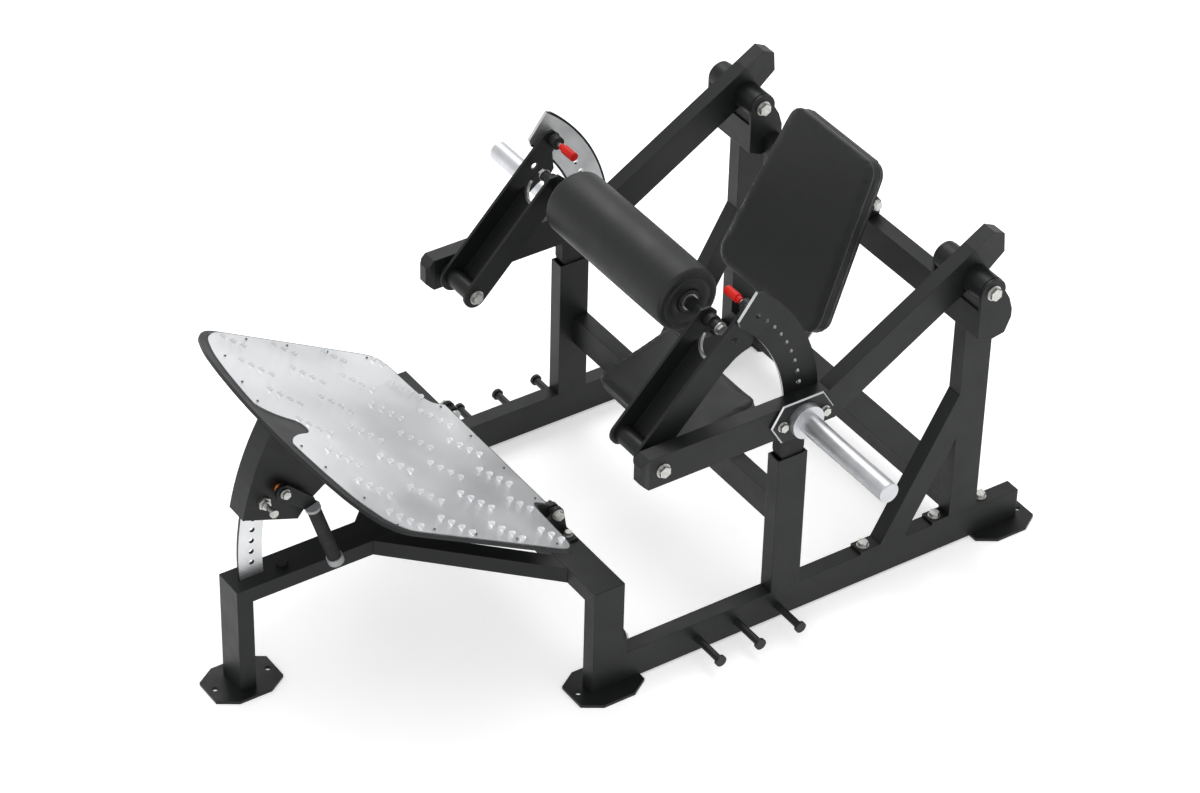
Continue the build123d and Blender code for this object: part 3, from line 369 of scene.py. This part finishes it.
def vinyl():
    """Expanded vinyl upholstery cloth: pebble grain with shallow creases, a soft satin sheen."""
    material, tree, shader, place = start("upholstery_vinyl", Specular_IOR_Level=0.35)
    warped = put(tree, "ShaderNodeTexNoise", Vector=place, Scale=per_mm(12), Detail=2.0)
    bent = put(tree, "ShaderNodeVectorMath", warped.outputs["Color"], (0.002, 0.002, 0.002),
               operation="MULTIPLY")
    moved = put(tree, "ShaderNodeVectorMath", place, bent.outputs[0], operation="ADD")
    cells = put(tree, "ShaderNodeTexVoronoi", feature="DISTANCE_TO_EDGE", Vector=moved.outputs[0],
                Scale=per_mm(3))
    crease = put(tree, "ShaderNodeMapRange", cells.outputs["Distance"], To_Max=1.0,
                 From_Min=0.0, From_Max=0.18).outputs["Result"]
    # The creases between the pebbles are painted darker than the pebbles: painted shade.
    wire(tree, shader.inputs["Base Color"], tint(tree, crease, "131415", "1a1b1c"))
    wire(tree, shader.inputs["Roughness"], speckle(tree, place, 70, 0.44, 0.54))
    skin(tree, shader, crease, 0.12, 0.5)
    return material


# Injection-moulded ABS from a polished mould: deep red with a clean highlight.
knob_red = moulded("glossy_red_plastic", "b81410", "d21e17", (0.3, 0.4), depth=0.01, shine=0.15)
# Moulded nylon with a fine eroded grain: satin, so that caps read softer than the paint.
nylon = moulded("black_nylon", "191a1a", "232424", (0.42, 0.55))
nylon_grey = moulded("grey_nylon", "8b8c8e", "a4a5a6", (0.38, 0.5))
# Pressed natural rubber: almost no shine, with a coarser, deeper skin.
rubber = moulded("black_rubber", "151515", "1f1f1f", (0.62, 0.78), grain=3.5, depth=0.08)
# Plywood under stapled black cloth: quite dull, hardly seen behind the cushions.
board = moulded("cloth_backed_board", "141414", "1d1d1d", (0.7, 0.85), grain=2.5, depth=0.1)
vinyl_black = vinyl()
# Extruded vinyl cord, smoother than the cushion; its colour is lighter as a painted highlight, so
# that it draws a thin light line.
welt_vinyl = moulded("glossy_welt_vinyl", "2e2f30", "3a3b3c", (0.3, 0.4), shine=0.6)
print("made", [made.name for made in (knob_red, nylon, nylon_grey, rubber, board, vinyl_black,
                                      welt_vinyl)])

# %% [markdown]
# ## Painting the CAD nodes
# On the real machine each part is finished before it is bolted on, so every node gets one finish.
# Most are powder coated. A list of all sixty would be long and easy to get wrong, so only the
# others are listed, by finish, and the rest fall back on the paint.

# %% Assign finishes
finish_of = {
    zinc: ("frame_bolts", "rear_pivot_bolts", "knuckle_bolt", "hinge_bolts", "lever_bolts",
           "adjuster_pins", "lock_pin", "shaft_ends", "pull_pins_right", "pull_pins_left"),
    chrome: ("weight_sleeves",),
    tread: ("tread_sheet",),
    arc_finish: ("quadrant_plates",),
    strip_finish: ("lock_strip",),
    rim_finish: ("sleeve_plates",),
    knob_red: ("pull_knob_right", "pull_knob_left"),
    nylon: ("rail_end_caps", "lever_end_caps", "band_pegs", "roller_core"),
    nylon_grey: ("handle_ends",),
    rubber: ("lever_bumpers", "handle_grip", "bump_stop"),
    board: ("seat_board", "backrest_board"),
    vinyl_black: ("seat_pad", "backrest_pad", "roller_pad"),
    copper: ("handle_spring",),
}
finish_by_node = {name: material for material, names in finish_of.items() for name in names}
for name, node in nodes.items():
    node.data.materials.clear()
    node.data.materials.append(finish_by_node.get(name, steel_black))
print("painted", len(nodes), "nodes,", len(nodes) - len(finish_by_node), "of them in powder coat")

# %% [markdown]
# ## Cushions
# The backrest and the seat are foam on a board, under stretched vinyl. A bevelled block would give
# their outline but not the way that foam fills its cover. So a copy of the CAD solid, which has the
# exact place, is shrunk a little, remeshed finely and blown up by Blender's cloth solver: pressure
# pushes the skin out and rounds the edges as foam does. No point may move further than a cap, which
# keeps the pad inside its solid, and the face that lies on the board is pulled back flat.


# %% Inflate a cushion
BOARD_ZONE = 4.0  # points within this many millimetres of the board lie flat on it
BOARD_GAP = 0.3  # and stop this far short of it


def evaluated(piece):
    """The object as its modifiers leave it."""
    return piece.evaluated_get(bpy.context.evaluated_depsgraph_get())


def merged_copy(node_name, piece_name):
    """The CAD mesh as a new object with its triangles joined."""
    mesh = nodes[node_name].data.copy()
    mesh.name = piece_name
    mesh.materials.clear()
    piece = bpy.data.objects.new(piece_name, mesh)
    scene.collection.objects.link(piece)
    body = bmesh.new()
    body.from_mesh(mesh)
    bmesh.ops.remove_doubles(body, verts=body.verts, dist=1e-6)
    bmesh.ops.recalc_face_normals(body, faces=body.faces)
    body.to_mesh(mesh)
    body.free()
    return piece


def apply_modifiers(piece):
    """Bake an object's modifiers into a plain mesh."""
    made = bpy.data.meshes.new_from_object(evaluated(piece))
    piece.modifiers.clear()
    old, piece.data = piece.data, made
    bpy.data.meshes.remove(old)
    return piece


def remesh(piece, voxel):
    """Even the mesh out into quads of that many millimetres."""
    step = piece.modifiers.new("even", "REMESH")
    step.mode = "VOXEL"
    step.voxel_size = voxel * MM
    return apply_modifiers(piece)


def inflate(piece, pressure, frames=20):
    """Let cloth pressure round the cushion."""
    cloth = piece.modifiers.new("foam", "CLOTH")
    cloth.settings.use_pressure = True
    cloth.settings.uniform_pressure_force = pressure
    cloth.settings.effector_weights.gravity = 0.0
    cloth.settings.quality = 5
    cloth.point_cache.frame_end = frames
    for step in range(1, frames + 1):
        scene.frame_set(step)
    apply_modifiers(piece)
    scene.frame_set(1)


def cushion(node_name, piece_name, normal, shrink=3.0, cap=4.0, voxel=6.0, pressure=3.0):
    """An upholstered cushion in the place of a CAD solid whose face looks along normal.

    Shrink, cap and voxel are millimetres.
    """
    piece = remesh(merged_copy(node_name, piece_name), voxel)
    rest = [v.co - v.normal * shrink * MM for v in piece.data.vertices]
    piece.data.vertices.foreach_set("co", [c for point in rest for c in point])
    inflate(piece, pressure)
    floor_level = min(point.dot(normal) for point in rest)
    final = []
    for vertex, start_point in zip(piece.data.vertices, rest):
        move = vertex.co - start_point
        spot = start_point + move.normalized() * min(move.length, cap * MM)
        depth = spot.dot(normal) - floor_level
        if depth < BOARD_ZONE * MM:
            spot = spot - normal * (depth + (shrink - BOARD_GAP) * MM)
        final.extend(spot)
    piece.data.vertices.foreach_set("co", final)
    piece.data.update()
    smooth = piece.modifiers.new("smooth", "SUBSURF")
    smooth.levels = smooth.render_levels = 1
    apply_modifiers(piece)
    piece.data.materials.append(vinyl_black)
    piece.data.shade_smooth()
    return piece


lean, rise = math.radians(25.0), math.radians(18.0)  # of the backrest and of the seat
back_face = Vector((0.0, -math.cos(lean), math.sin(lean)))
seat_face = Vector((0.0, -math.sin(rise), math.cos(rise)))
backrest = cushion("backrest_pad", "backrest_cushion", back_face)
seat = cushion("seat_pad", "seat_cushion", seat_face)
print("cushions:", len(backrest.data.vertices), "and", len(seat.data.vertices), "points")

# %% [markdown]
# ## Piping
# Where the face panel meets the side band, an upholsterer sews in a thin cord, the welt. A curve
# drawn by hand would float off the cushion wherever the foam bulges. So rays are sent inwards from
# all round, a few millimetres under the rim, and a round cord runs through the points where they
# land. It then follows whatever shape the cushion has taken.


# %% Welt round a cushion
RAY_START = 0.6  # metres from the middle, well outside either cushion


def ring_points(piece, centre, normal, side, depth, count=160):
    """Points on the cushion's side wall, a depth in millimetres below its face."""
    tree = BVHTree.FromObject(piece, bpy.context.evaluated_depsgraph_get())
    top = max(v.co.dot(normal) for v in piece.data.vertices)
    other = normal.cross(side)
    base = centre + normal * (top - depth * MM - centre.dot(normal))
    found = []
    for i in range(count):
        turn = 2 * math.pi * i / count
        ray = side * math.cos(turn) + other * math.sin(turn)
        hit = tree.ray_cast(base + ray * RAY_START, -ray)
        if hit[0]:
            found.append(hit[0])
    return found


def welt(name, points, radius, body):
    """A closed round cord through points, its radius in millimetres."""
    curve = bpy.data.curves.new(name, "CURVE")
    curve.dimensions = "3D"
    curve.bevel_depth = radius * MM
    curve.bevel_resolution = 2
    spline = curve.splines.new("POLY")
    spline.points.add(len(points) - 1)
    for point, place in zip(spline.points, points):
        point.co = (*place, 1.0)
    spline.use_cyclic_u = True
    cord_object = bpy.data.objects.new(name, curve)
    scene.collection.objects.link(cord_object)
    mesh = bpy.data.meshes.new_from_object(evaluated(cord_object))
    piece = bpy.data.objects.new(name + "_cord", mesh)
    scene.collection.objects.link(piece)
    bpy.data.objects.remove(cord_object)
    mesh.materials.clear()
    mesh.materials.append(welt_vinyl)
    mesh.shade_smooth()
    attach(piece, body)
    return piece


def middle(piece):
    """Middle of a piece's box."""
    corners = [Vector(c) for c in piece.bound_box]
    return sum(corners, Vector()) / 8


for piece, node_name, normal, body in ((backrest, "backrest_pad", back_face, "backrest"),
                                       (seat, "seat_pad", seat_face, "frame")):
    for row, depth, thickness in (("_front_welt", 9, 1.6), ("_rear_welt", 31, 1.2)):
        outline = ring_points(piece, middle(piece), normal, across, depth)
        welt(piece.name + row, outline, thickness, body)
    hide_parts(node_name)
    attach(piece, body)
print("welts on both cushions")

# %% [markdown]
# ## Roller sleeve
# The roller is a foam tube in a vinyl sleeve, drawn tight and sewn at the ends. It could be
# inflated like the cushions, but a simulation leaves its ends slightly uneven, which shows as it
# turns. It is a body of revolution, so half a section is drawn instead and spun round the shaft: a
# long barrel with a barely crowned middle, round shoulders, and flat ends with a groove for the
# seam.


# %% Spin the roller
def lathe(name, profile, centre, steps=96):
    """Spin (distance along X, radius) points round X through a centre, closed as a ring."""
    mesh_body = bmesh.new()
    rings = []
    for along, radius in profile:
        ring = []
        for i in range(steps):
            turn = 2 * math.pi * i / steps
            ring.append(mesh_body.verts.new(centre + Vector((
                along, radius * math.cos(turn), radius * math.sin(turn)))))
        rings.append(ring)
    for a, b in zip(rings, rings[1:] + rings[:1]):
        for i in range(steps):
            j = (i + 1) % steps
            mesh_body.faces.new((a[i], a[j], b[j], b[i]))
    bmesh.ops.recalc_face_normals(mesh_body, faces=mesh_body.faces)
    mesh = bpy.data.meshes.new(name)
    mesh_body.to_mesh(mesh)
    mesh_body.free()
    piece = bpy.data.objects.new(name, mesh)
    scene.collection.objects.link(piece)
    mesh.shade_smooth()
    return piece


low, high = (Vector(c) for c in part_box("roller_pad"))
roller_centre = (low + high) / 2
half, radius = (high.x - low.x) / 2, (high.z - low.z) / 2
shoulder = 12 * MM
crown = 0.9 * MM  # how much thinner the barrel is at its ends
bore = 28.5 * MM  # radius of the hole round the shaft
end_radius = radius - crown - shoulder  # where a shoulder runs into the flat end
# Across a flat end, from the shoulder to the bore: share of the way, and depth in millimetres.
END_DENTS = ((0.2, 0.9), (0.22, 2.4), (0.24, 0.9), (0.6, 0.5), (0.98, 0.9))


def roller_profile():
    """Section of the sleeve from bore to bore, as (distance from the middle, radius)."""
    right = []
    for i in range(9):
        along = (half - shoulder) * i / 8
        right.append((along, radius - crown * (i / 8) ** 2))
    for i in range(1, 8):
        turn = math.radians(90 * i / 7)
        right.append((half - shoulder + shoulder * math.sin(turn) * 0.92,
                      radius - crown - shoulder * (1 - math.cos(turn))))
    for share, dent in END_DENTS:
        right.append((half - (dent + 0.4) * MM, end_radius - (end_radius - bore) * share))
    right.append((half - 4 * MM, bore))
    left = [(-along, r) for along, r in reversed(right)]
    return left + right[1:]


roller = lathe("roller_sleeve", roller_profile(), roller_centre)
roller.data.materials.append(vinyl_black)
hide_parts("roller_pad")
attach(roller, "roller")
print("roller", round(2 * half, 3), "m long,", round(2 * radius, 3), "m across")

# %% [markdown]
# ## Growing pieces with Geometry Nodes
# Buttons, rivets, stitches and the spring all repeat or follow a rule. Copies could be set down one
# by one in Python, but a tree keeps the rule and its sizes apart, and the sizes reach it as the
# modifier's inputs. Each tree has named inputs, and ends by making its copies real and giving them
# their material. Its result is then kept as a plain mesh, because a body needs one. A mesh that a
# tree grows from nothing can start with an empty material slot, so its slots are set once more.


# %% Trees and what they grow
def new_tree(name, sizes):
    """A geometry tree with a named number input for each size and one geometry output."""
    tree = bpy.data.node_groups.new(name, "GeometryNodeTree")
    tree.interface.new_socket("Geometry", in_out="INPUT", socket_type="NodeSocketGeometry")
    for key, value in sizes.items():
        socket = tree.interface.new_socket(key, in_out="INPUT", socket_type="NodeSocketFloat")
        socket.default_value = value
    tree.interface.new_socket("Geometry", in_out="OUTPUT", socket_type="NodeSocketGeometry")
    return tree, put(tree, "NodeGroupInput"), put(tree, "NodeGroupOutput")


def end_tree(tree, geometry, material, out):
    """Realize instances, set the material and finish a tree."""
    solid = put(tree, "GeometryNodeRealizeInstances", geometry)
    smooth = put(tree, "GeometryNodeSetShadeSmooth", solid.outputs[0])
    named = put(tree, "GeometryNodeSetMaterial", smooth.outputs[0], Material=material)
    wire(tree, out.inputs[0], named.outputs[0])


def grow(name, tree, sizes, material, body):
    """Run a tree once and keep its result as a plain mesh with one material, on a body."""
    holder = bpy.data.objects.new(name + "_holder", bpy.data.meshes.new(name + "_holder"))
    scene.collection.objects.link(holder)
    step = holder.modifiers.new(name, "NODES")
    step.node_group = tree
    keys = {s.name: s.identifier for s in tree.interface.items_tree if s.in_out == "INPUT"}
    for key, value in sizes.items():
        step[keys[key]] = value
    mesh = bpy.data.meshes.new_from_object(evaluated(holder))
    bpy.data.objects.remove(holder)
    mesh.materials.clear()
    mesh.materials.append(material)
    piece = bpy.data.objects.new(name, mesh)
    scene.collection.objects.link(piece)
    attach(piece, body)
    print(name, len(mesh.polygons), "faces of", material.name)
    return piece


# %% [markdown]
# ## Oval buttons and rivets
# The tread sheet is pressed with oval buttons, four in a slanting row, the rows on a coarse grid,
# and it is riveted round its border. A bump map could stand for both, but the buttons catch light
# along the sheet's edge, so they are real: one small dome, set down on many points. Rays sent down
# onto the sheet drop every point that would hang over an edge or over the notch.

# %% Where the sheet lies
sheet_low, sheet_high = (Vector(c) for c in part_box("tread_sheet"))
sheet_normal = across.cross(up_slope).normalized()
if sheet_normal.z < 0:
    sheet_normal = -sheet_normal
sheet_origin = Vector((0.0, sheet_high.y, sheet_low.z + 2 * MM * math.cos(tilt)))
on_sheet = Matrix((across, up_slope, sheet_normal)).transposed().to_euler()


def point_cloud(name, places):
    """Loose points on the sheet, from millimetres across it and up it, as a mesh object."""
    mesh = bpy.data.meshes.new(name)
    spots = [sheet_origin + across * x * MM + up_slope * s * MM for x, s in places]
    mesh.from_pydata([tuple(p) for p in spots], [], [])
    cloud = bpy.data.objects.new(name, mesh)
    scene.collection.objects.link(cloud)
    bpy.context.view_layer.update()
    return cloud


print("the sheet starts at", tuple(round(v, 3) for v in sheet_origin))

# %% Oval buttons
BUTTON = {"Length": 0.0135, "Width": 0.0090, "Height": 0.0008}  # half sizes of a dome, in metres
SUNK = 0.00055  # how much of a dome's height is below the sheet, in metres
# All in millimetres, across the sheet (X) and up its slope (S): from one group of four to the next,
# the lowest group of the middle column, the step inside a group, and how far round a button the
# sheet has to reach.
GROUP_STEP_X, GROUP_STEP_S = 127.0, 148.0
FIRST_X, FIRST_S = -8.0, 92.0
STEP_X, STEP_S = 17.0, -18.0
ROOM_X, ROOM_S = 14, 12


def button_points():
    """Places of the oval buttons on the sheet: fours in a slanting row on a coarse grid."""
    points = []
    for column in range(-3, 4):
        for row in range(5):
            for k in (-1.5, -0.5, 0.5, 1.5):
                points.append((column * GROUP_STEP_X + FIRST_X + k * STEP_X,
                               FIRST_S + row * GROUP_STEP_S + k * STEP_S))
    return points


def buttons_tree(cloud):
    """Domes on every point whose surroundings lie on the sheet."""
    tree, given, out = new_tree("press_buttons", BUTTON)
    source = put(tree, "GeometryNodeObjectInfo", Object=cloud).outputs["Geometry"]
    target = put(tree, "GeometryNodeObjectInfo", Object=nodes["tread_sheet"]).outputs["Geometry"]
    place = put(tree, "GeometryNodeInputPosition").outputs[0]
    kept = None
    for dx, ds in ((ROOM_X, 0), (-ROOM_X, 0), (0, ROOM_S), (0, -ROOM_S)):
        shift = across * dx * MM + up_slope * ds * MM + sheet_normal * 0.02
        above = put(tree, "ShaderNodeVectorMath", place, tuple(shift), operation="ADD").outputs[0]
        hit = put(tree, "GeometryNodeRaycast", target, Source_Position=above,
                  Ray_Direction=tuple(-sheet_normal), Ray_Length=0.035).outputs["Is Hit"]
        kept = hit if kept is None else put(tree, "FunctionNodeBooleanMath", kept, hit,
                                            operation="AND").outputs[0]
    points = put(tree, "GeometryNodeMeshToPoints", source, kept)
    dome = put(tree, "GeometryNodeMeshUVSphere", 12, 6)
    size = put(tree, "ShaderNodeCombineXYZ", given.outputs["Length"], given.outputs["Width"],
               given.outputs["Height"])
    shaped = put(tree, "GeometryNodeTransform", dome.outputs[0], Scale=size.outputs[0])
    turned = put(tree, "GeometryNodeTransform", shaped.outputs[0],
                 Rotation=(0, 0, math.radians(45)), Translation=(0, 0, -SUNK))
    made = put(tree, "GeometryNodeInstanceOnPoints", points.outputs[0], Instance=turned.outputs[0],
               Rotation=on_sheet)
    end_tree(tree, made.outputs[0], tread, out)
    return tree


cloud = point_cloud("button_spots", button_points())
grow("tread_buttons", buttons_tree(cloud), BUTTON, tread, "footplate")
bpy.data.objects.remove(cloud)

# %% Rivets round the sheet
RIVET = {"Radius": 0.0042, "Height": 0.0015}  # of a head, in metres
# Drawn and rolled steel, left as it came: darker than the sheet, so that each head is a dot.
rivet_metal = moulded("dark_rivet_steel", "4a4b4d", "6a6b6d", (0.3, 0.45))


def border_points():
    """Places of the rivets in millimetres: straight sides, hinge side and bowed front edge."""
    half_width, hinge_row, front_row, bow = 404.0, 24.0, 640.0, 0.00048
    side = [(x, s) for x in (-half_width, half_width) for s in (110.0, 230.0, 350.0, 470.0, 575.0)]
    hinge = [(x, hinge_row) for x in (-200.0, -70.0, 70.0, 200.0)]
    front = [(x, front_row - bow * x * x) for x in (-300.0, -180.0, -95.0, 95.0, 180.0, 300.0)]
    return side + hinge + front


def rivets_tree(cloud):
    """A flat round head on every point."""
    tree, given, out = new_tree("rivets", RIVET)
    source = put(tree, "GeometryNodeObjectInfo", Object=cloud).outputs["Geometry"]
    points = put(tree, "GeometryNodeMeshToPoints", source)
    dome = put(tree, "GeometryNodeMeshUVSphere", 12, 6)
    size = put(tree, "ShaderNodeCombineXYZ", given.outputs["Radius"], given.outputs["Radius"],
               given.outputs["Height"])
    shaped = put(tree, "GeometryNodeTransform", dome.outputs[0], Scale=size.outputs[0])
    made = put(tree, "GeometryNodeInstanceOnPoints", points.outputs[0], Instance=shaped.outputs[0],
               Rotation=on_sheet)
    end_tree(tree, made.outputs[0], rivet_metal, out)
    return tree


cloud = point_cloud("rivet_spots", border_points())
grow("tread_rivets", rivets_tree(cloud), RIVET, rivet_metal, "footplate")
bpy.data.objects.remove(cloud)

# %% [markdown]
# ## Stitches
# A row of stitches runs beside each front welt and round each end of the roller, where the vinyl
# panels are sewn together. A dashed line in the material would do from afar, but it would need
# the cushions unwrapped and has no thickness. So a tree walks along a closed path and sets one
# small capsule down every few millimetres, turned to lie along the path. Real thread is 0.5 mm
# thick; it is drawn at 1.2 mm to show.


# %% Sew along a path
STITCH = {"Pitch": 0.007, "Length": 0.0025, "Thread": 0.0006}  # metres; the last two are half sizes
# Twisted and waxed nylon thread: duller and lighter than the vinyl, so that it can be made out.
thread = moulded("nylon_thread", "303132", "3c3d3e", (0.5, 0.6), grain=1.5, depth=0.02)


def loop_object(name, points):
    """A closed loop of edges through points."""
    mesh = bpy.data.meshes.new(name)
    edges = [(i, (i + 1) % len(points)) for i in range(len(points))]
    mesh.from_pydata([tuple(p) for p in points], edges, [])
    path = bpy.data.objects.new(name, mesh)
    scene.collection.objects.link(path)
    return path


def stitch_tree(path):
    """Capsules laid end to end along a path."""
    tree, given, out = new_tree("stitches", STITCH)
    source = put(tree, "GeometryNodeObjectInfo", Object=path).outputs["Geometry"]
    line = put(tree, "GeometryNodeMeshToCurve", source)
    spots = put(tree, "GeometryNodeResampleCurve", line.outputs[0], mode="LENGTH",
                Length=given.outputs["Pitch"])
    capsule = put(tree, "GeometryNodeMeshUVSphere", 6, 5)
    size = put(tree, "ShaderNodeCombineXYZ", given.outputs["Length"], given.outputs["Thread"],
               given.outputs["Thread"])
    shaped = put(tree, "GeometryNodeTransform", capsule.outputs[0], Scale=size.outputs[0])
    heading = put(tree, "GeometryNodeInputTangent").outputs[0]
    laid = put(tree, "FunctionNodeAlignRotationToVector", axis="X", Vector=heading)
    made = put(tree, "GeometryNodeInstanceOnPoints", spots.outputs[0], Instance=shaped.outputs[0],
               Rotation=laid.outputs[0])
    end_tree(tree, made.outputs[0], thread, out)
    return tree


def sew(name, points, body):
    """Stitches through a closed row of points."""
    path = loop_object(name + "_path", points)
    bpy.context.view_layer.update()
    grow(name, stitch_tree(path), STITCH, thread, body)
    bpy.data.objects.remove(path)


for piece, normal, body in ((backrest, back_face, "backrest"), (seat, seat_face, "frame")):
    sew(piece.name + "_stitches", ring_points(piece, middle(piece), normal, across, 13), body)
seam_radius = end_radius * 0.86  # beside the groove in the sleeve's end
around = [2 * math.pi * i / 72 for i in range(72)]
for side, end in (("left", -1), ("right", 1)):
    place = roller_centre + across * end * (half - 1.3 * MM)
    sew("roller_stitches_" + side,
        [place + Vector((0, math.cos(turn), math.sin(turn))) * seam_radius for turn in around],
        "roller")

# %% [markdown]
# ## Return spring
# A torsion spring round the handle's bolt snaps the handle back, and CAD has only a plain ring in
# its place. It is wound from wire on a mandrel. Screw and Array modifiers could wind it too, but a
# helix is a curve that follows a rule, so a tree draws the spiral and sweeps a round wire along it.


# %% Wind the spring
SPRING = {"Radius": 0.0117, "Wire": 0.0012, "Turns": 4.0}  # radii of the coil and wire, in metres


def spring_tree(first, length):
    """A wire helix along X from the centre of its first turn."""
    tree, given, out = new_tree("return_spring", SPRING)
    helix = put(tree, "GeometryNodeCurveSpiral", Resolution=24, Rotations=given.outputs["Turns"],
                Start_Radius=given.outputs["Radius"], End_Radius=given.outputs["Radius"],
                Height=length)
    laid = put(tree, "GeometryNodeTransform", helix.outputs[0], Rotation=(0, math.radians(90), 0),
               Translation=tuple(first))
    section = put(tree, "GeometryNodeCurvePrimitiveCircle", Resolution=8,
                  Radius=given.outputs["Wire"])
    swept = put(tree, "GeometryNodeCurveToMesh", laid.outputs[0], section.outputs["Curve"],
                Fill_Caps=True)
    end_tree(tree, swept.outputs[0], copper, out)
    return tree


low, high = (Vector(c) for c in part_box("handle_spring"))
wire_radius = SPRING["Wire"]
spring_start = Vector((low.x + wire_radius, (low.y + high.y) / 2, (low.z + high.z) / 2))
spring = grow("return_spring", spring_tree(spring_start, high.x - low.x - 2 * wire_radius),
              SPRING, copper, "handle")
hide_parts("handle_spring")

# %% [markdown]
# ## Bright notch rims
# The rear wall of each pad arm ends in a wide half-round cut whose edge was ground bright after
# painting. A mask would do on a plate, but this wall is one mesh with the rest of the arm, and the
# bright edge has to turn the corner onto its face. So a thin angle strip is bent along the half
# circle, a fraction of a millimetre proud of the paint.


# %% Notch rims
arm_tilt = math.radians(46.46)  # of the pad arms above level, at rest
NOTCH_SIDE, NOTCH_ALONG, NOTCH_OUT = 0.3525, 0.292, -0.019  # its centre from the arms' pivot
# The strip's section: a lining inside the cut and a lip on the wall's face, in metres.
LINING_IN, LINING_OUT, LIP_OUT = 0.0437, 0.0443, 0.0505  # radii
LIP_TOP, LIP_UNDER = 0.0042, 0.0039  # heights above the middle of the wall
RIM_SECTION = ((LINING_IN, -LIP_TOP), (LINING_IN, LIP_TOP), (LIP_OUT, LIP_TOP),
               (LIP_OUT, LIP_UNDER), (LINING_OUT, LIP_UNDER), (LINING_OUT, -LIP_TOP))
along_arm = Vector((0.0, math.cos(arm_tilt), math.sin(arm_tilt)))
out_of_arm = Vector((0.0, -math.sin(arm_tilt), math.cos(arm_tilt)))


def notch_rim(name, side):
    """Half-round band in the arm's rear wall."""
    centre = (front_pivot + along_arm * NOTCH_ALONG + out_of_arm * NOTCH_OUT
              + across * side * NOTCH_SIDE)
    body = bmesh.new()
    sections = []
    for i in range(25):
        turn = math.pi * (0.04 + 0.92 * i / 24)
        spoke = across * side * math.cos(turn) - along_arm * math.sin(turn)
        sections.append([body.verts.new(centre + spoke * r + out_of_arm * n)
                         for r, n in RIM_SECTION])
    for a, b in zip(sections, sections[1:]):
        for k in range(len(RIM_SECTION)):
            after = (k + 1) % len(RIM_SECTION)
            body.faces.new((a[k], a[after], b[after], b[k]))
    body.faces.new(sections[0])
    body.faces.new(reversed(sections[-1]))
    bmesh.ops.recalc_face_normals(body, faces=body.faces)
    mesh = bpy.data.meshes.new(name)
    body.to_mesh(mesh)
    body.free()
    mesh.materials.append(zinc)
    piece = bpy.data.objects.new(name, mesh)
    scene.collection.objects.link(piece)
    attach(piece, "pad_arms")
    return piece


rims = [notch_rim("notch_rim_right", 1), notch_rim("notch_rim_left", -1)]
print("notch rims:", [len(r.data.polygons) for r in rims])

# %% [markdown]
# ## Floor, light and camera
# A black machine is shown in a white studio, or its paint would turn into one dark shape. The floor
# is an acrylic table lit from below, which thins the shadows. A sky image could light the machine,
# but it would put trees and clouds in the gloss, so the room is plain white and two soft boxes do
# the rest: a large one overhead towards the rear puts a sheen on the top faces, and a weaker one on
# the footplate's side opens the shadows. The camera has a long lens and stands far away, looking
# down at about 37 degrees, so that parallel tubes stay nearly parallel.


# %% Floor
floor_mesh = bpy.data.meshes.new("studio_floor")
reach = 30.0
corners = [(x * reach, y * reach, 0) for x, y in ((-1, -1), (1, -1), (1, 1), (-1, 1))]
floor_mesh.from_pydata(corners, [], [(0, 1, 2, 3)])
floor = bpy.data.objects.new("studio_floor", floor_mesh)
scene.collection.objects.link(floor)
# Matt opal acrylic over lamps: it glows a little by itself, so shadows on it stay pale.
acrylic, tree, shader, place = start("lit_acrylic_table", Roughness=0.9, Emission_Strength=0.4)
wire(tree, shader.inputs["Emission Color"], linear("ffffff"))
wire(tree, shader.inputs["Base Color"],
     tint(tree, speckle(tree, place, 400, 0, 1), "f4f4f4", "f8f8f8"))
floor_mesh.materials.append(acrylic)

world = bpy.data.worlds.new("studio")
scene.world = world
world.use_nodes = True
room = world.node_tree.nodes["Background"]
room.inputs["Color"].default_value = linear("ffffff")
room.inputs["Strength"].default_value = 0.85
scene.view_settings.view_transform = "Standard"
print("floor", 2 * reach, "m across in a white room")


# %% Lights
def soft_light(name, place, aim, width, power):
    """A square soft box aimed at a point."""
    lamp = bpy.data.lights.new(name, "AREA")
    lamp.shape = "SQUARE"
    lamp.size = width
    lamp.energy = power
    holder = bpy.data.objects.new(name, lamp)
    holder.location = place
    holder.rotation_euler = (Vector(aim) - Vector(place)).to_track_quat("-Z", "Y").to_euler()
    scene.collection.objects.link(holder)


soft_light("key", place=(-3.2, 1.5, 5.0), aim=(0, 0, 0.4), width=3.0, power=110)
soft_light("fill", place=(3.5, -4.5, 3.0), aim=(0, 0, 0.5), width=3.0, power=40)
print("two soft boxes,", len(bpy.data.lights), "lights in all")

# %% Camera
AZIMUTH, ELEVATION, ROLL = (math.radians(a) for a in (55.5, 36.94, 1.52))
DISTANCE, LENS = 9.5, 123.85  # metres to the aim, and the focal length in millimetres
aim = Vector((-0.0113, 0.0662, 0.4105))
forward = Vector((-math.sin(AZIMUTH) * math.cos(ELEVATION),
                  math.cos(AZIMUTH) * math.cos(ELEVATION), -math.sin(ELEVATION)))
level = Vector((math.cos(AZIMUTH), math.sin(AZIMUTH), 0.0))
above = level.cross(forward)
right = level * math.cos(ROLL) + above * math.sin(ROLL)
top = above * math.cos(ROLL) - level * math.sin(ROLL)
lens = bpy.data.cameras.new("portrait")
lens.lens = LENS
lens.sensor_width = 36.0
lens.clip_end = 100.0
camera = bpy.data.objects.new("portrait", lens)
turned = Matrix((right, top, -forward)).transposed().to_4x4()
turned.translation = aim - forward * DISTANCE
camera.matrix_world = turned
scene.collection.objects.link(camera)
scene.camera = camera
print("camera at", tuple(round(v, 3) for v in camera.location))
